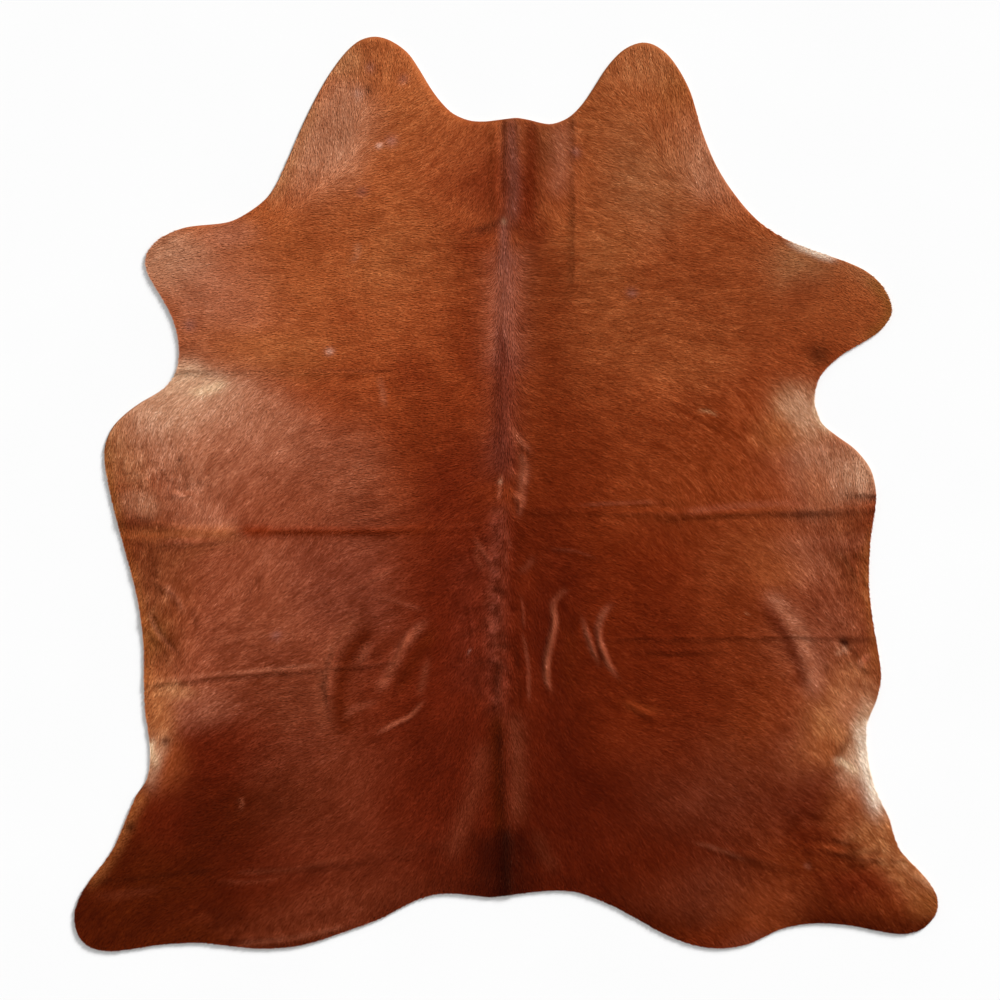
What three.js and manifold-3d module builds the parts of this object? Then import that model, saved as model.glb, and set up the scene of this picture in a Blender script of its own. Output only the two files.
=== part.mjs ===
// Cowhide rug: one whole tanned hide with its short coat left on. It lies flat on the floor, coat
// side up, and keeps the low ridges that packing folds and the animal's own wrinkles left in it.
//
// Millimetres, +Z up. The neck is towards +Y, the tail end towards -Y, and the spine runs along Y.
// The origin lies on the floor, under the middle of the hide's own box.

import * as THREE from 'three';
import { mergeVertices } from 'three/addons/utils/BufferGeometryUtils.js';
import Module from 'manifold-3d';

// Driving sizes

const SKIN = 2.5; // the tanned skin
const COAT = 2.5; // the coat, lying flat on the skin
const THICKNESS = SKIN + COAT;

const STEPS_PER_TURN = 2; // straight steps from one turn of the edge to the next
const FOLD_STEP = 72; // the longest step along a fold
const CRESCENT_STEP = 34; // the longest step along a short, curved ridge
const SHORT_RIDGE = 420; // a ridge shorter than this takes the crescent's step
const RUN_OUT = 95; // over this length a ridge rises from nothing at each end
const RUN_OUT_SHARE = 0.42; // or over this share of a short ridge
const NARROW_END = 0.45; // how wide a ridge still is at its ends, of its full width

const ROOT = 0.3; // how deep a ridge's foot lies in the sheet
const ROOT_DEPTH = 1.5; // how far a ridge's body goes down into the sheet
const CLEAR = 3; // how far a cutting body reaches past the face that it cuts

const COLOURS = { coat: 0x9a5430 };

// The edge of the hide, part by part and counterclockwise from the middle of the neck. Each turn is
// a place where the edge bends, and one smooth curve runs through them all.

const EDGE = [
  { part: 'neck, left half', turns: [[20, 864], [-37, 857], [-83, 858], [-129, 879]] },
  {
    part: 'left cheek',
    turns: [[-175, 934], [-221, 1007], [-263, 1040], [-302, 1051], [-341, 1040], [-382, 1000],
      [-428, 929]],
  },
  {
    part: 'left side of the neck',
    turns: [[-474, 836], [-520, 730], [-548, 684], [-589, 650], [-635, 626]],
  },
  {
    part: 'left fore shank',
    turns: [[-681, 619], [-739, 612], [-796, 587], [-824, 556], [-830, 528], [-819, 496],
      [-789, 446]],
  },
  {
    part: 'left armpit',
    turns: [[-764, 395], [-752, 331], [-760, 278], [-789, 241], [-842, 209]],
  },
  { part: 'left brisket', turns: [[-900, 160], [-923, 108], [-918, 43], [-900, -42]] },
  {
    part: 'left belly edge',
    turns: [[-875, -136], [-847, -244], [-833, -359], [-831, -486], [-818, -590]],
  },
  { part: 'left flank', turns: [[-825, -654], [-849, -691], [-877, -757], [-911, -829]] },
  {
    part: 'left hind shank',
    turns: [[-958, -890], [-992, -962], [-983, -1017], [-953, -1044], [-900, -1051],
      [-808, -1038]],
  },
  {
    part: 'left buttock',
    turns: [[-704, -1032], [-578, -1045], [-474, -1038], [-359, -1002], [-279, -971],
      [-221, -940]],
  },
  {
    part: 'tail end',
    turns: [[-164, -921], [-106, -920], [-37, -927], [32, -919], [112, -912], [170, -918]],
  },
  {
    part: 'right buttock',
    turns: [[262, -956], [354, -1007], [423, -1035], [492, -1045], [561, -1033], [630, -1001]],
  },
  {
    part: 'right hind shank',
    turns: [[710, -987], [802, -994], [906, -1012], [956, -1000], [988, -964], [988, -922],
      [952, -870]],
  },
  { part: 'right flank', turns: [[903, -817], [878, -743], [848, -681], [831, -608]] },
  {
    part: 'right belly edge',
    turns: [[828, -532], [849, -478], [861, -417], [844, -304], [833, -210], [838, -95],
      [850, -7]],
  },
  { part: 'right brisket', turns: [[837, 57], [795, 108], [729, 158]] },
  { part: 'right armpit', turns: [[708, 211], [722, 271], [779, 325]] },
  {
    part: 'right fore shank',
    turns: [[853, 370], [886, 418], [864, 478], [818, 517], [745, 546]],
  },
  {
    part: 'right side of the neck',
    turns: [[653, 580], [584, 623], [526, 687], [480, 760], [446, 846]],
  },
  {
    part: 'right cheek',
    turns: [[423, 924], [381, 998], [342, 1031], [308, 1037], [266, 1018], [227, 975],
      [188, 914]],
  },
  { part: 'neck, right half', turns: [[147, 868], [101, 850], [55, 859]] },
];

// The raised lines. Rise is the height of the crest over the flat sheet, half is half the width of
// the foot, and the path is where the crest runs. A path that ends outside the edge is cut by it.

const RIDGES = [
  {
    fold: 'neck, left of the parting', rise: 2.5, half: 18,
    path: [[-26, 952], [-26, 768], [-21, 584]],
  },
  {
    fold: 'neck, right of the parting', rise: 3, half: 22,
    path: [[25, 952], [25, 768], [20, 584]],
  },
  {
    fold: 'spine, shoulders to loin', rise: 3.5, half: 36,
    path: [[13, 670], [6, 500], [-1, 377], [-7, 170], [4, -37]],
  },
  {
    fold: 'spine, loin to tail', rise: 3.5, half: 30,
    path: [[4, 32], [-7, -152], [-19, -359], [-7, -612], [4, -1020]],
  },
  { fold: 'neck crease', rise: 3, half: 12, path: [[151, 970], [154, 676], [149, 423]] },
  {
    fold: 'left shoulder fold', rise: 2.5, half: 12,
    path: [[-865, 281], [-647, 279], [-474, 279], [-267, 275]],
  },
  {
    fold: 'middle fold, left half', rise: 4, half: 16,
    path: [[-1003, -63], [-819, -73], [-681, -86], [-474, -86], [-244, -86], [-33, -74]],
  },
  {
    fold: 'middle fold, right half', rise: 4, half: 16,
    path: [[-7, -47], [216, -53], [446, -53], [630, -42], [952, -30]],
  },
  {
    fold: 'loin fold, left half', rise: 4, half: 13,
    path: [[-934, -454], [-727, -428], [-589, -415], [-428, -405], [-244, -389]],
  },
  {
    fold: 'loin fold, right half', rise: 4, half: 13,
    path: [[124, -338], [308, -335], [584, -332], [955, -329]],
  },
  { fold: 'short fold below it', rise: 3, half: 12, path: [[273, -364], [400, -365], [538, -362]] },
  {
    fold: 'rump fold, left half', rise: 3, half: 20,
    path: [[-624, -865], [-497, -858], [-359, -845], [-221, -826], [-95, -796]],
  },
  {
    fold: 'rump fold, right half', rise: 3, half: 18,
    path: [[411, -796], [515, -824], [664, -863]],
  },
  {
    fold: 'roll along the left buttock', rise: 3, half: 14,
    path: [[-670, -1026], [-474, -1013], [-313, -978]],
  },
  {
    fold: 'ripple in the right hind shank', rise: 3, half: 14,
    path: [[710, -801], [791, -833], [980, -842]],
  },
  {
    fold: 'left haunch, outer crescent', rise: 5.5, half: 17,
    path: [[-343, -283], [-380, -336], [-403, -387], [-412, -451], [-401, -520]],
  },
  {
    fold: 'left haunch, inner crescent', rise: 3.5, half: 12,
    path: [[-295, -325], [-318, -364], [-343, -403]],
  },
  {
    fold: 'left haunch, middle crescent', rise: 5.5, half: 14,
    path: [[-214, -281], [-237, -348], [-260, -401], [-290, -444]],
  },
  {
    fold: 'left haunch, lower crescent', rise: 4, half: 12,
    path: [[-187, -472], [-217, -511], [-254, -530], [-302, -557]],
  },
  {
    fold: 'left haunch, upper crescent', rise: 3, half: 14,
    path: [[-251, -166], [-309, -194], [-364, -240]],
  },
  {
    fold: 'right haunch, crescent by the spine', rise: 5.5, half: 14,
    path: [[131, -221], [110, -254], [110, -295], [101, -348], [91, -387], [96, -438],
      [103, -493]],
  },
  {
    fold: 'right haunch, middle crescent', rise: 4.5, half: 11,
    path: [[172, -281], [188, -325], [200, -359], [216, -396]],
  },
  {
    fold: 'right haunch, outer crescent', rise: 5.5, half: 13,
    path: [[239, -247], [216, -295], [213, -336], [227, -375], [259, -424]],
  },
  {
    fold: 'right haunch, lower crescent', rise: 3, half: 14,
    path: [[264, -472], [308, -500], [358, -525]],
  },
  {
    fold: 'right flank swell', rise: 4, half: 32,
    path: [[561, -226], [641, -309], [683, -387], [715, -486]],
  },
  { fold: 'left brisket pleat', rise: 3.5, half: 11, path: [[-796, 4], [-746, -5], [-697, 6]] },
  { fold: 'right brisket pleat', rise: 3, half: 10, path: [[735, -1], [837, -3], [960, -3]] },
  {
    fold: 'left belly wrinkle, upper', rise: 4, half: 14,
    path: [[-829, -191], [-769, -231], [-732, -279]],
  },
  {
    fold: 'left belly wrinkle, lower', rise: 4, half: 13,
    path: [[-900, -230], [-796, -343], [-740, -405]],
  },
  { fold: 'right belly wrinkle', rise: 3.5, half: 13, path: [[758, -118], [795, -164], [818, -233]] },
];

// The height of a rounded ridge across its width, as a share of its rise

const PROFILE = [-1, -0.55, 0, 0.55, 1].map((across) => ({
  across,
  height: Math.cos((Math.PI / 2) * across) ** 2,
}));

const wasm = await Module();
wasm.setup();

function toSolid(geometry) {
  const bare = geometry.clone();
  bare.deleteAttribute('normal');
  bare.deleteAttribute('uv');
  const merged = mergeVertices(bare, 1e-4);
  return new wasm.Manifold(new wasm.Mesh({
    numProp: 3,
    vertProperties: merged.attributes.position.array,
    triVerts: new Uint32Array(merged.index.array),
  }));
}

function toGeometry(solid) {
  const mesh = solid.getMesh();
  const geometry = new THREE.BufferGeometry();
  geometry.setAttribute('position', new THREE.BufferAttribute(mesh.vertProperties.slice(), 3));
  geometry.setIndex(new THREE.BufferAttribute(mesh.triVerts.slice(), 1));
  geometry.computeVertexNormals();
  return geometry;
}

// The plan of the hide, moved so that the middle of its box is the origin

function edgeShape() {
  const turns = EDGE.flatMap((row) => row.turns).map(([x, y]) => new THREE.Vector3(x, y, 0));
  const curve = new THREE.CatmullRomCurve3(turns, true, 'centripetal');
  const count = turns.length * STEPS_PER_TURN;
  const points = Array.from({ length: count }, (_, i) => curve.getPoint(i / count));
  const middle = new THREE.Box3().setFromPoints(points).getCenter(new THREE.Vector3());
  return new THREE.Shape(points.map((p) => new THREE.Vector2(p.x - middle.x, p.y - middle.y)));
}

function prism(shape, bottom, top) {
  const geometry = new THREE.ExtrudeGeometry(shape, { depth: top - bottom, bevelEnabled: false });
  geometry.translate(0, 0, bottom);
  return toSolid(geometry);
}

// A body along a path. Its sections are closed rings of points (across, z), all of one length.

function loft(path, sectionAt) {
  const curve = new THREE.CatmullRomCurve3(path.map(([x, y]) => new THREE.Vector3(x, y, 0)));
  const length = curve.getLength();
  const step = length < SHORT_RIDGE ? CRESCENT_STEP : FOLD_STEP;
  const count = Math.ceil(length / step);
  const positions = [];
  const faces = [];
  let size = 0;
  for (let i = 0; i <= count; i += 1) {
    const place = curve.getPointAt(i / count);
    const along = curve.getTangentAt(i / count);
    const ring = sectionAt((i / count) * length, length);
    size = ring.length;
    ring.forEach(([across, z]) => {
      positions.push(place.x + along.y * across, place.y - along.x * across, z);
    });
  }
  for (let i = 0; i < count; i += 1) {
    for (let j = 0; j < size; j += 1) {
      const a = i * size + j;
      const b = i * size + ((j + 1) % size);
      faces.push(a, b, b + size, a, b + size, a + size);
    }
  }
  for (let j = 1; j < size - 1; j += 1) {
    const last = count * size;
    faces.push(0, j + 1, j, last, last + j, last + j + 1);
  }
  const geometry = new THREE.BufferGeometry();
  geometry.setAttribute('position', new THREE.BufferAttribute(new Float32Array(positions), 3));
  geometry.setIndex(faces);
  return toSolid(geometry);
}

// How much of its rise a ridge has at a place along it: none at its ends, all of it in between

function fullness(at, length) {
  const runOut = Math.min(RUN_OUT, RUN_OUT_SHARE * length);
  const share = Math.min(1, at / runOut, (length - at) / runOut);
  return share * share * (3 - 2 * share);
}

// A ridge with its foot on the height base, and its body reaching down to bottom

function ridge(row, base, bottom) {
  return loft(row.path, (at, length) => {
    const full = fullness(at, length);
    const half = row.half * (NARROW_END + (1 - NARROW_END) * full);
    const crest = PROFILE.map(({ across, height }) => [
      across * half,
      base - ROOT + (row.rise + ROOT) * full * height,
    ]);
    return [...crest, [half, bottom], [-half, bottom]];
  });
}

// The hide: a sheet of one thickness. Each ridge stands on its upper face, and the same ridge is
// hollow underneath, so the sheet only touches the floor between them.

function makeHide() {
  const shape = edgeShape();
  const highest = Math.max(...RIDGES.map((row) => row.rise));
  let hide = prism(shape, 0, THICKNESS);
  RIDGES.forEach((row) => {
    hide = hide.add(ridge(row, THICKNESS, THICKNESS - ROOT_DEPTH));
  });
  hide = hide.intersect(prism(shape, 0, THICKNESS + highest + CLEAR));
  RIDGES.forEach((row) => {
    hide = hide.subtract(ridge(row, 0, -CLEAR));
  });
  return toGeometry(hide);
}

const coat = new THREE.MeshStandardMaterial({
  name: 'coat',
  color: COLOURS.coat,
  roughness: 0.55,
  metalness: 0,
});

const hide = new THREE.Mesh(makeHide(), coat);
hide.name = 'hide';

const rug = new THREE.Group();
rug.add(hide);

export default rug;
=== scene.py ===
import math

import bpy
import numpy as np
from mathutils.geometry import delaunay_2d_cdt
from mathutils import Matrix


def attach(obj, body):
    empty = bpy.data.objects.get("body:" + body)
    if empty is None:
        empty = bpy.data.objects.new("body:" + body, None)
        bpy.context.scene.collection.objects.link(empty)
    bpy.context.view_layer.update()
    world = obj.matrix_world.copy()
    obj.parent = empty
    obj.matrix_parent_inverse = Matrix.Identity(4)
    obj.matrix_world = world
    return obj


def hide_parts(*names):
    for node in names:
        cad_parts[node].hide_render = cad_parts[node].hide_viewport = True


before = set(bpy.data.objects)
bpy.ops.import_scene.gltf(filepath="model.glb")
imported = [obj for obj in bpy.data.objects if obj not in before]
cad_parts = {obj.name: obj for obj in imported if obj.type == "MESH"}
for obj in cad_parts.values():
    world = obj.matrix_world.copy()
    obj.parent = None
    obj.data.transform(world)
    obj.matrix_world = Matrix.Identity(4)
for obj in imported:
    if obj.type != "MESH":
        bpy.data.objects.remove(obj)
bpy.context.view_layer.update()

# A chestnut cowhide with its short coat on, laid flat. Lengths are metres, in tables millimetres.
# +Y is towards the neck, -Y towards the tail, and the spine runs along x = 0.

# The camera hangs straight over the rug.
CAMERA_PLACE = (-0.0144, -0.0144, 8.0)
SENSOR_MM = 36
VIEW_WIDTH = 2.3

camera_data = bpy.data.cameras.new("overhead")
camera_data.sensor_width = SENSOR_MM
camera_data.lens = SENSOR_MM * CAMERA_PLACE[2] / VIEW_WIDTH
camera = bpy.data.objects.new("overhead", camera_data)
camera.location = CAMERA_PLACE
bpy.context.scene.collection.objects.link(camera)
bpy.context.scene.camera = camera

# Skin thickness, height of the hair's tips above the skin, size and spacing of the locks, their
# reach past the edge, the depth of their roots and how far their sides lie below the middle.
SKIN = 0.003
COAT = 0.0027
HAIR_LENGTH = (0.009, 0.017)
HAIR_WIDTH = (0.0013, 0.0020)
HAIR_SPACING = 0.0027
OVERHANG = 0.0025
ROOT_SINK = 0.0004
ROOF_DROP = 0.00021

# Steps between the skin's points: near folds, elsewhere, on the underside and along the rim.
FINE_STEP = 0.0045
OPEN_STEP = 0.012
UNDER_STEP = 0.016
RIM_STEP = 0.009

# Colours of the coat as seen, 0 to 255 in sRGB; some of them are painted sheen, highlight and shade.
TONES = {
    "cheek tan": (168, 112, 74),
    "cheek rose": (172, 116, 88),
    "neck chestnut": (160, 88, 48),
    "shoulder chestnut": (154, 79, 41),
    "back russet": (142, 63, 29),
    "rib russet": (131, 54, 22),
    "loin red": (112, 37, 12),
    "haunch red": (102, 31, 10),
    "rump red": (89, 23, 7),
    "rump maroon": (80, 19, 5),
    "shank maroon": (67, 17, 2),
    "tail black": (36, 4, 1),
    "tail maroon": (48, 6, 1),
    # flank rose and light rose are the coat's rosy tone with painted sheen in it; on crests and lips they
    # are painted highlights.
    "flank rose": (137, 71, 47),
    "light rose": (166, 103, 77),
    "sand": (188, 144, 116),
    "cream": (212, 182, 150),
    "white": (228, 214, 198),
    "ochre": (136, 86, 38),
    "olive": (120, 66, 30),
    "belly brown": (114, 57, 30),
    "rump rose": (107, 46, 27),
    # spine mauve is the mane's tone with painted sheen in it.
    "spine mauve": (134, 76, 62),
    "thigh rose": (114, 52, 31),
    "loin mauve": (99, 40, 27),
    "saddle shade": (119, 44, 16),
    # crease is painted shade in nicks, also used for a few dark spots and marks; crest is a painted
    # highlight on ridges, wrinkles and lips.
    "crease": (64, 22, 8),
    "crest": (158, 84, 58),
    "flank tan": (166, 100, 58),
    "edge tan": (142, 78, 38),
    "spine brown": (118, 56, 40),
    # trough is painted shade in the hollows beside ridges.
    "trough": (82, 22, 4),
    "mark mauve": (128, 84, 80),
    "mark pale": (196, 150, 132),
}

# The coat's ground tone down the back: y, tone.
ALONG = [
    (1021, "neck chestnut"),
    (722, "shoulder chestnut"),
    (469, "shoulder chestnut"),
    (285, "back russet"),
    (78, "rib russet"),
    (-152, "loin red"),
    (-382, "haunch red"),
    (-635, "rump red"),
    (-842, "rump maroon"),
    (-1049, "shank maroon"),
]

# Soft patches: name, tone, x, y, half width, half length, turn in degrees, strength.
PATCHES = [
    ("left cheek", "cheek rose", -373, 864, 60, 101, -22, 0.95),
    ("left cheek, inner", "neck chestnut", -272, 956, 69, 92, 0, 0.7),
    ("left cheek, below", "cheek rose", -438, 791, 97, 106, -20, 0.9),
    ("right cheek", "cheek tan", 331, 998, 103, 60, 0, 0.35),
    ("right cheek, below", "cheek rose", 464, 756, 60, 101, 28, 0.8),
    ("neck left", "loin red", -102, 722, 87, 120, 0, 0.5),
    ("neck right", "back russet", 96, 768, 60, 115, 0, 0.6),
    ("withers", "haunch red", -14, 699, 64, 115, 0, 0.75),
    ("right neck", "cheek tan", 326, 699, 101, 133, 0, 0.45),
    ("saddle right", "saddle shade", 193, 89, 83, 115, 0, 0.4),
    ("right shoulder", "back russet", 400, 533, 253, 115, 0, 0.45),
    ("right shoulder, low", "back russet", 538, 388, 230, 106, 0, 0.35),
    ("left fore shank", "sand", -769, 533, 83, 69, 0, 0.75),
    ("left fore shank, root", "light rose", -686, 455, 126, 110, -20, 0.75),
    ("left shoulder", "shoulder chestnut", -405, 469, 207, 184, 0, 0.4),
    ("left shoulder, upper", "neck chestnut", -254, 533, 101, 78, 0, 1.0),
    ("right shoulder, inner", "neck chestnut", 229, 542, 78, 101, 0, 0.9),
    ("right shoulder, middle", "shoulder chestnut", 308, 354, 207, 115, 0, 0.7),
    ("right fore leg, root", "cheek tan", 676, 533, 78, 60, 0, 0.85),
    ("right shoulder, low edge", "shoulder chestnut", 450, 303, 78, 60, 0, 0.7),
    ("right fore shank", "shoulder chestnut", 832, 446, 78, 74, 0, 0.7),
    ("right fore shank, tip", "cheek tan", 818, 503, 60, 28, -30, 0.5),
    ("left armpit", "cream", -727, 248, 78, 35, -10, 0.95),
    ("left ribs, high", "neck chestnut", -548, 326, 129, 51, 0, 0.85),
    ("left armpit, low", "sand", -718, 186, 166, 92, -8, 1.0),
    ("left brisket", "cheek tan", -884, 101, 51, 106, 0, 0.8),
    ("left brisket, inner", "cheek rose", -697, 64, 138, 92, 0, 1.0),
    ("left brisket, brown", "flank rose", -796, 25, 55, 23, -12, 0.6),
    # The rosy patches on the left ribs and flank are the coat's tone with painted sheen in it.
    ("left ribs", "light rose", -534, 124, 175, 106, -20, 0.7),
    ("left ribs, inner", "flank rose", -359, 73, 92, 92, 0, 0.7),
    ("left ribs, low", "flank rose", -562, -37, 299, 184, -10, 0.75),
    ("left ribs, edge", "light rose", -709, -42, 78, 60, 0, 0.7),
    ("left flank", "flank rose", -562, -244, 276, 184, 0, 0.9),
    ("left flank, inner", "loin mauve", -359, -221, 138, 161, 0, 0.55),
    ("left belly", "belly brown", -815, -175, 78, 138, 10, 0.8),
    ("left belly, low", "olive", -806, -355, 60, 78, 0, 0.7),
    ("left belly, orange", "shoulder chestnut", -746, -286, 46, 83, 0, 0.15),
    ("under the middle fold, left", "belly brown", -714, -134, 106, 21, 0, 0.55),
    ("left flank, tan", "shoulder chestnut", -796, -419, 55, 28, -5, 0.6),
    ("left haunch", "flank rose", -672, -396, 143, 78, 0, 0.5),
    ("left thigh", "thigh rose", -486, -463, 147, 115, 0, 0.85),
    ("left flank, orange", "shoulder chestnut", -783, -631, 55, 69, 20, 0.8),
    ("left flank skin", "sand", -815, -594, 28, 60, -8, 0.95),
    ("left flank, light", "flank tan", -806, -502, 46, 74, 0, 0.85),
    ("left thigh, pale", "light rose", -711, -495, 69, 55, 0, 0.35),
    ("left rump", "rump maroon", -624, -739, 195, 138, 10, 0.9),
    ("left hock", "shank maroon", -785, -861, 166, 115, 0, 0.9),
    ("left hind shank", "shank maroon", -911, -969, 115, 97, 0, 0.95),
    ("left rump, light", "rump rose", -382, -635, 161, 103, 10, 0.6),
    ("left rump, inner", "shank maroon", -562, -723, 138, 87, 0, 0.72),
    ("left flank edge, low", "rump maroon", -785, -746, 55, 78, 0, 0.6),
    ("left thigh, low", "rump rose", -474, -603, 115, 55, 0, 0.5),
    ("left rump, low", "rump rose", -371, -796, 161, 172, 0, 0.45),
    ("left buttock", "rump rose", -428, -969, 230, 55, 8, 0.5),
    ("saddle left", "saddle shade", -187, 170, 92, 124, 0, 0.55),
    ("saddle left, upper", "back russet", -152, 446, 115, 138, 0, 0.5),
    ("loin left", "haunch red", -118, -14, 97, 172, 0, 0.95),
    ("loin right", "loin red", 124, -14, 115, 161, 0, 0.7),
    ("croup left", "rump red", -125, -371, 110, 287, 0, 1.0),
    ("croup right", "rump red", 89, -290, 78, 253, 0, 0.85),
    ("rump left of the tail", "rump maroon", -143, -635, 124, 129, 0, 0.95),
    ("rump right of the tail", "rump maroon", 135, -704, 138, 253, 0, 0.7),
    # The right flank's rosy patch is the coat's tone with painted sheen in it.
    ("right flank", "cheek rose", 749, 59, 115, 87, 20, 0.9),
    ("right armpit", "cheek tan", 680, 197, 55, 78, 0, 0.9),
    ("right armpit, edge", "sand", 692, 202, 41, 64, 0, 0.65),
    ("right brisket", "sand", 818, 59, 46, 60, 0, 0.7),
    # Painted highlight under the middle fold.
    ("under the middle fold", "light rose", 703, -83, 51, 16, 0, 0.4),
    ("over the middle fold, right", "back russet", 804, -33, 60, 21, 0, 0.6),
    # Painted shade beside the right flank's swell.
    ("right flank, dark", "haunch red", 639, -378, 46, 41, 30, 0.6),
    ("right belly, tan", "shoulder chestnut", 804, -272, 51, 78, 0, 0.5),
    ("right belly, tan, low", "shoulder chestnut", 763, -451, 78, 78, 0, 0.6),
    ("right ribs", "back russet", 515, -14, 184, 115, 0, 0.6),
    ("right belly", "belly brown", 781, -125, 60, 115, 0, 0.6),
    ("right belly, light", "shoulder chestnut", 611, -143, 106, 92, 0, 0.7),
    ("right belly, pale", "light rose", 683, -152, 64, 78, 0, 0.5),
    ("right belly, low", "flank rose", 710, -302, 92, 92, 0, 0.8),
    ("right flank, low", "flank rose", 710, -401, 101, 101, 0, 0.75),
    ("right stifle", "back russet", 595, -511, 124, 152, 0, 0.65),
    ("right gaskin", "flank rose", 680, -608, 74, 64, 0, 0.45),
    ("right flank skin", "cream", 818, -640, 46, 87, 10, 0.9),
    ("right flank, light", "flank tan", 781, -525, 69, 115, -5, 0.85),
    ("right flank, pale", "light rose", 798, -497, 46, 60, 0, 0.5),
    ("right flank, cream", "cream", 823, -525, 21, 51, 0, 0.55),
    ("right flank, tan", "flank tan", 770, -557, 37, 32, 0, 0.5),
    ("right hind leg, end", "rib russet", 883, -916, 106, 55, -30, 0.75),
    ("right hock", "flank tan", 929, -875, 78, 46, -42, 0.9),
    ("right hock, pale", "sand", 945, -861, 60, 23, -42, 0.7),
    ("right hock, fold", "shoulder chestnut", 800, -718, 64, 69, -20, 0.85),
    ("right haunch", "loin red", 400, -451, 152, 129, 0, 0.45),
    ("right haunch, low", "loin red", 365, -578, 138, 92, 0, 0.7),
    ("right haunch, outer", "rib russet", 549, -617, 92, 78, 0, 0.5),
    ("right ribs, far back", "loin red", 239, -336, 92, 161, 0, 0.25),
    ("right ribs, back", "back russet", 565, -226, 129, 138, 0, 0.5),
    ("right rump", "rump rose", 503, -693, 172, 115, -10, 0.7),
    ("right buttock", "rump rose", 496, -916, 161, 64, 0, 0.7),
    ("right buttock, edge", "loin red", 503, -1008, 115, 32, 0, 0.6),
    ("right buttock, inner", "haunch red", 342, -847, 92, 92, 0, 0.4),
    ("right buttock, outer", "back russet", 584, -957, 87, 64, 10, 0.5),
    ("dark patch on the left shoulder", "back russet", -355, 400, 51, 23, -10, 0.6),
    ("dark patch by the fold", "loin red", -226, 280, 51, 37, 0, 0.5),
    ("right hind shank", "rib russet", 676, -847, 138, 78, 0, 0.45),
    ("right flank, under the nick", "sand", 795, -672, 41, 46, 0, 0.55),
    ("right hind leg, tip", "edge tan", 965, -948, 32, 37, 0, 0.9),
    ("right hind leg, upper edge", "flank tan", 841, -787, 35, 46, -30, 0.8),
    ("right hind leg, dark", "rump red", 818, -907, 83, 30, -16, 0.8),
    ("right hind leg, dark, inner", "haunch red", 722, -787, 60, 28, 0, 0.6),
    ("left brisket, low", "cheek rose", -870, -33, 41, 28, 0, 0.7),
    ("left hind leg, lower edge", "shank maroon", -737, -1019, 78, 23, 0, 0.8),
    ("left hind leg, middle", "shank maroon", -842, -900, 83, 28, 0, 0.8),
    ("right belly, top", "flank rose", 763, -93, 92, 21, 0, 0.8),
    ("right gaskin, outer", "neck chestnut", 729, -608, 55, 46, 0, 0.7),
    ("left fore leg, upper edge", "light rose", -645, 593, 55, 28, 0, 0.7),
    ("right of the mane, low", "loin red", 45, 593, 37, 41, 0, 0.7),
    ("left of the mane, low", "saddle shade", -72, 593, 46, 37, 0, 0.7),
    ("left of the mane, middle", "saddle shade", -79, 303, 37, 78, 0, 0.6),
    ("left belly, olive", "olive", -819, -327, 37, 37, 0, 0.6),
    ("right ribs, outer", "neck chestnut", 620, 137, 51, 46, 0, 0.8),
    ("left thigh, top", "rump rose", -530, -382, 55, 28, 0, 0.8),
    ("left flank, edge tan", "cheek tan", -760, -442, 41, 21, 0, 0.6),
    ("right fore leg, dark", "back russet", 680, 473, 55, 32, 0, 0.7),
    ("right brisket, inner", "shoulder chestnut", 726, 16, 46, 32, 0, 0.4),
    ("neck right, brown", "belly brown", 64, 823, 51, 51, 0, 0.7),
    ("left cheek, top", "cheek tan", -359, 998, 46, 41, 0, 0.8),
    ("right cheek, inner", "edge tan", 390, 942, 51, 51, 0, 0.6),
    ("right belly, chestnut", "shoulder chestnut", 620, -152, 55, 46, 0, 0.6),
    ("right buttock, rim", "rump rose", 565, -1015, 60, 21, 0, 0.8),
]
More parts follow.
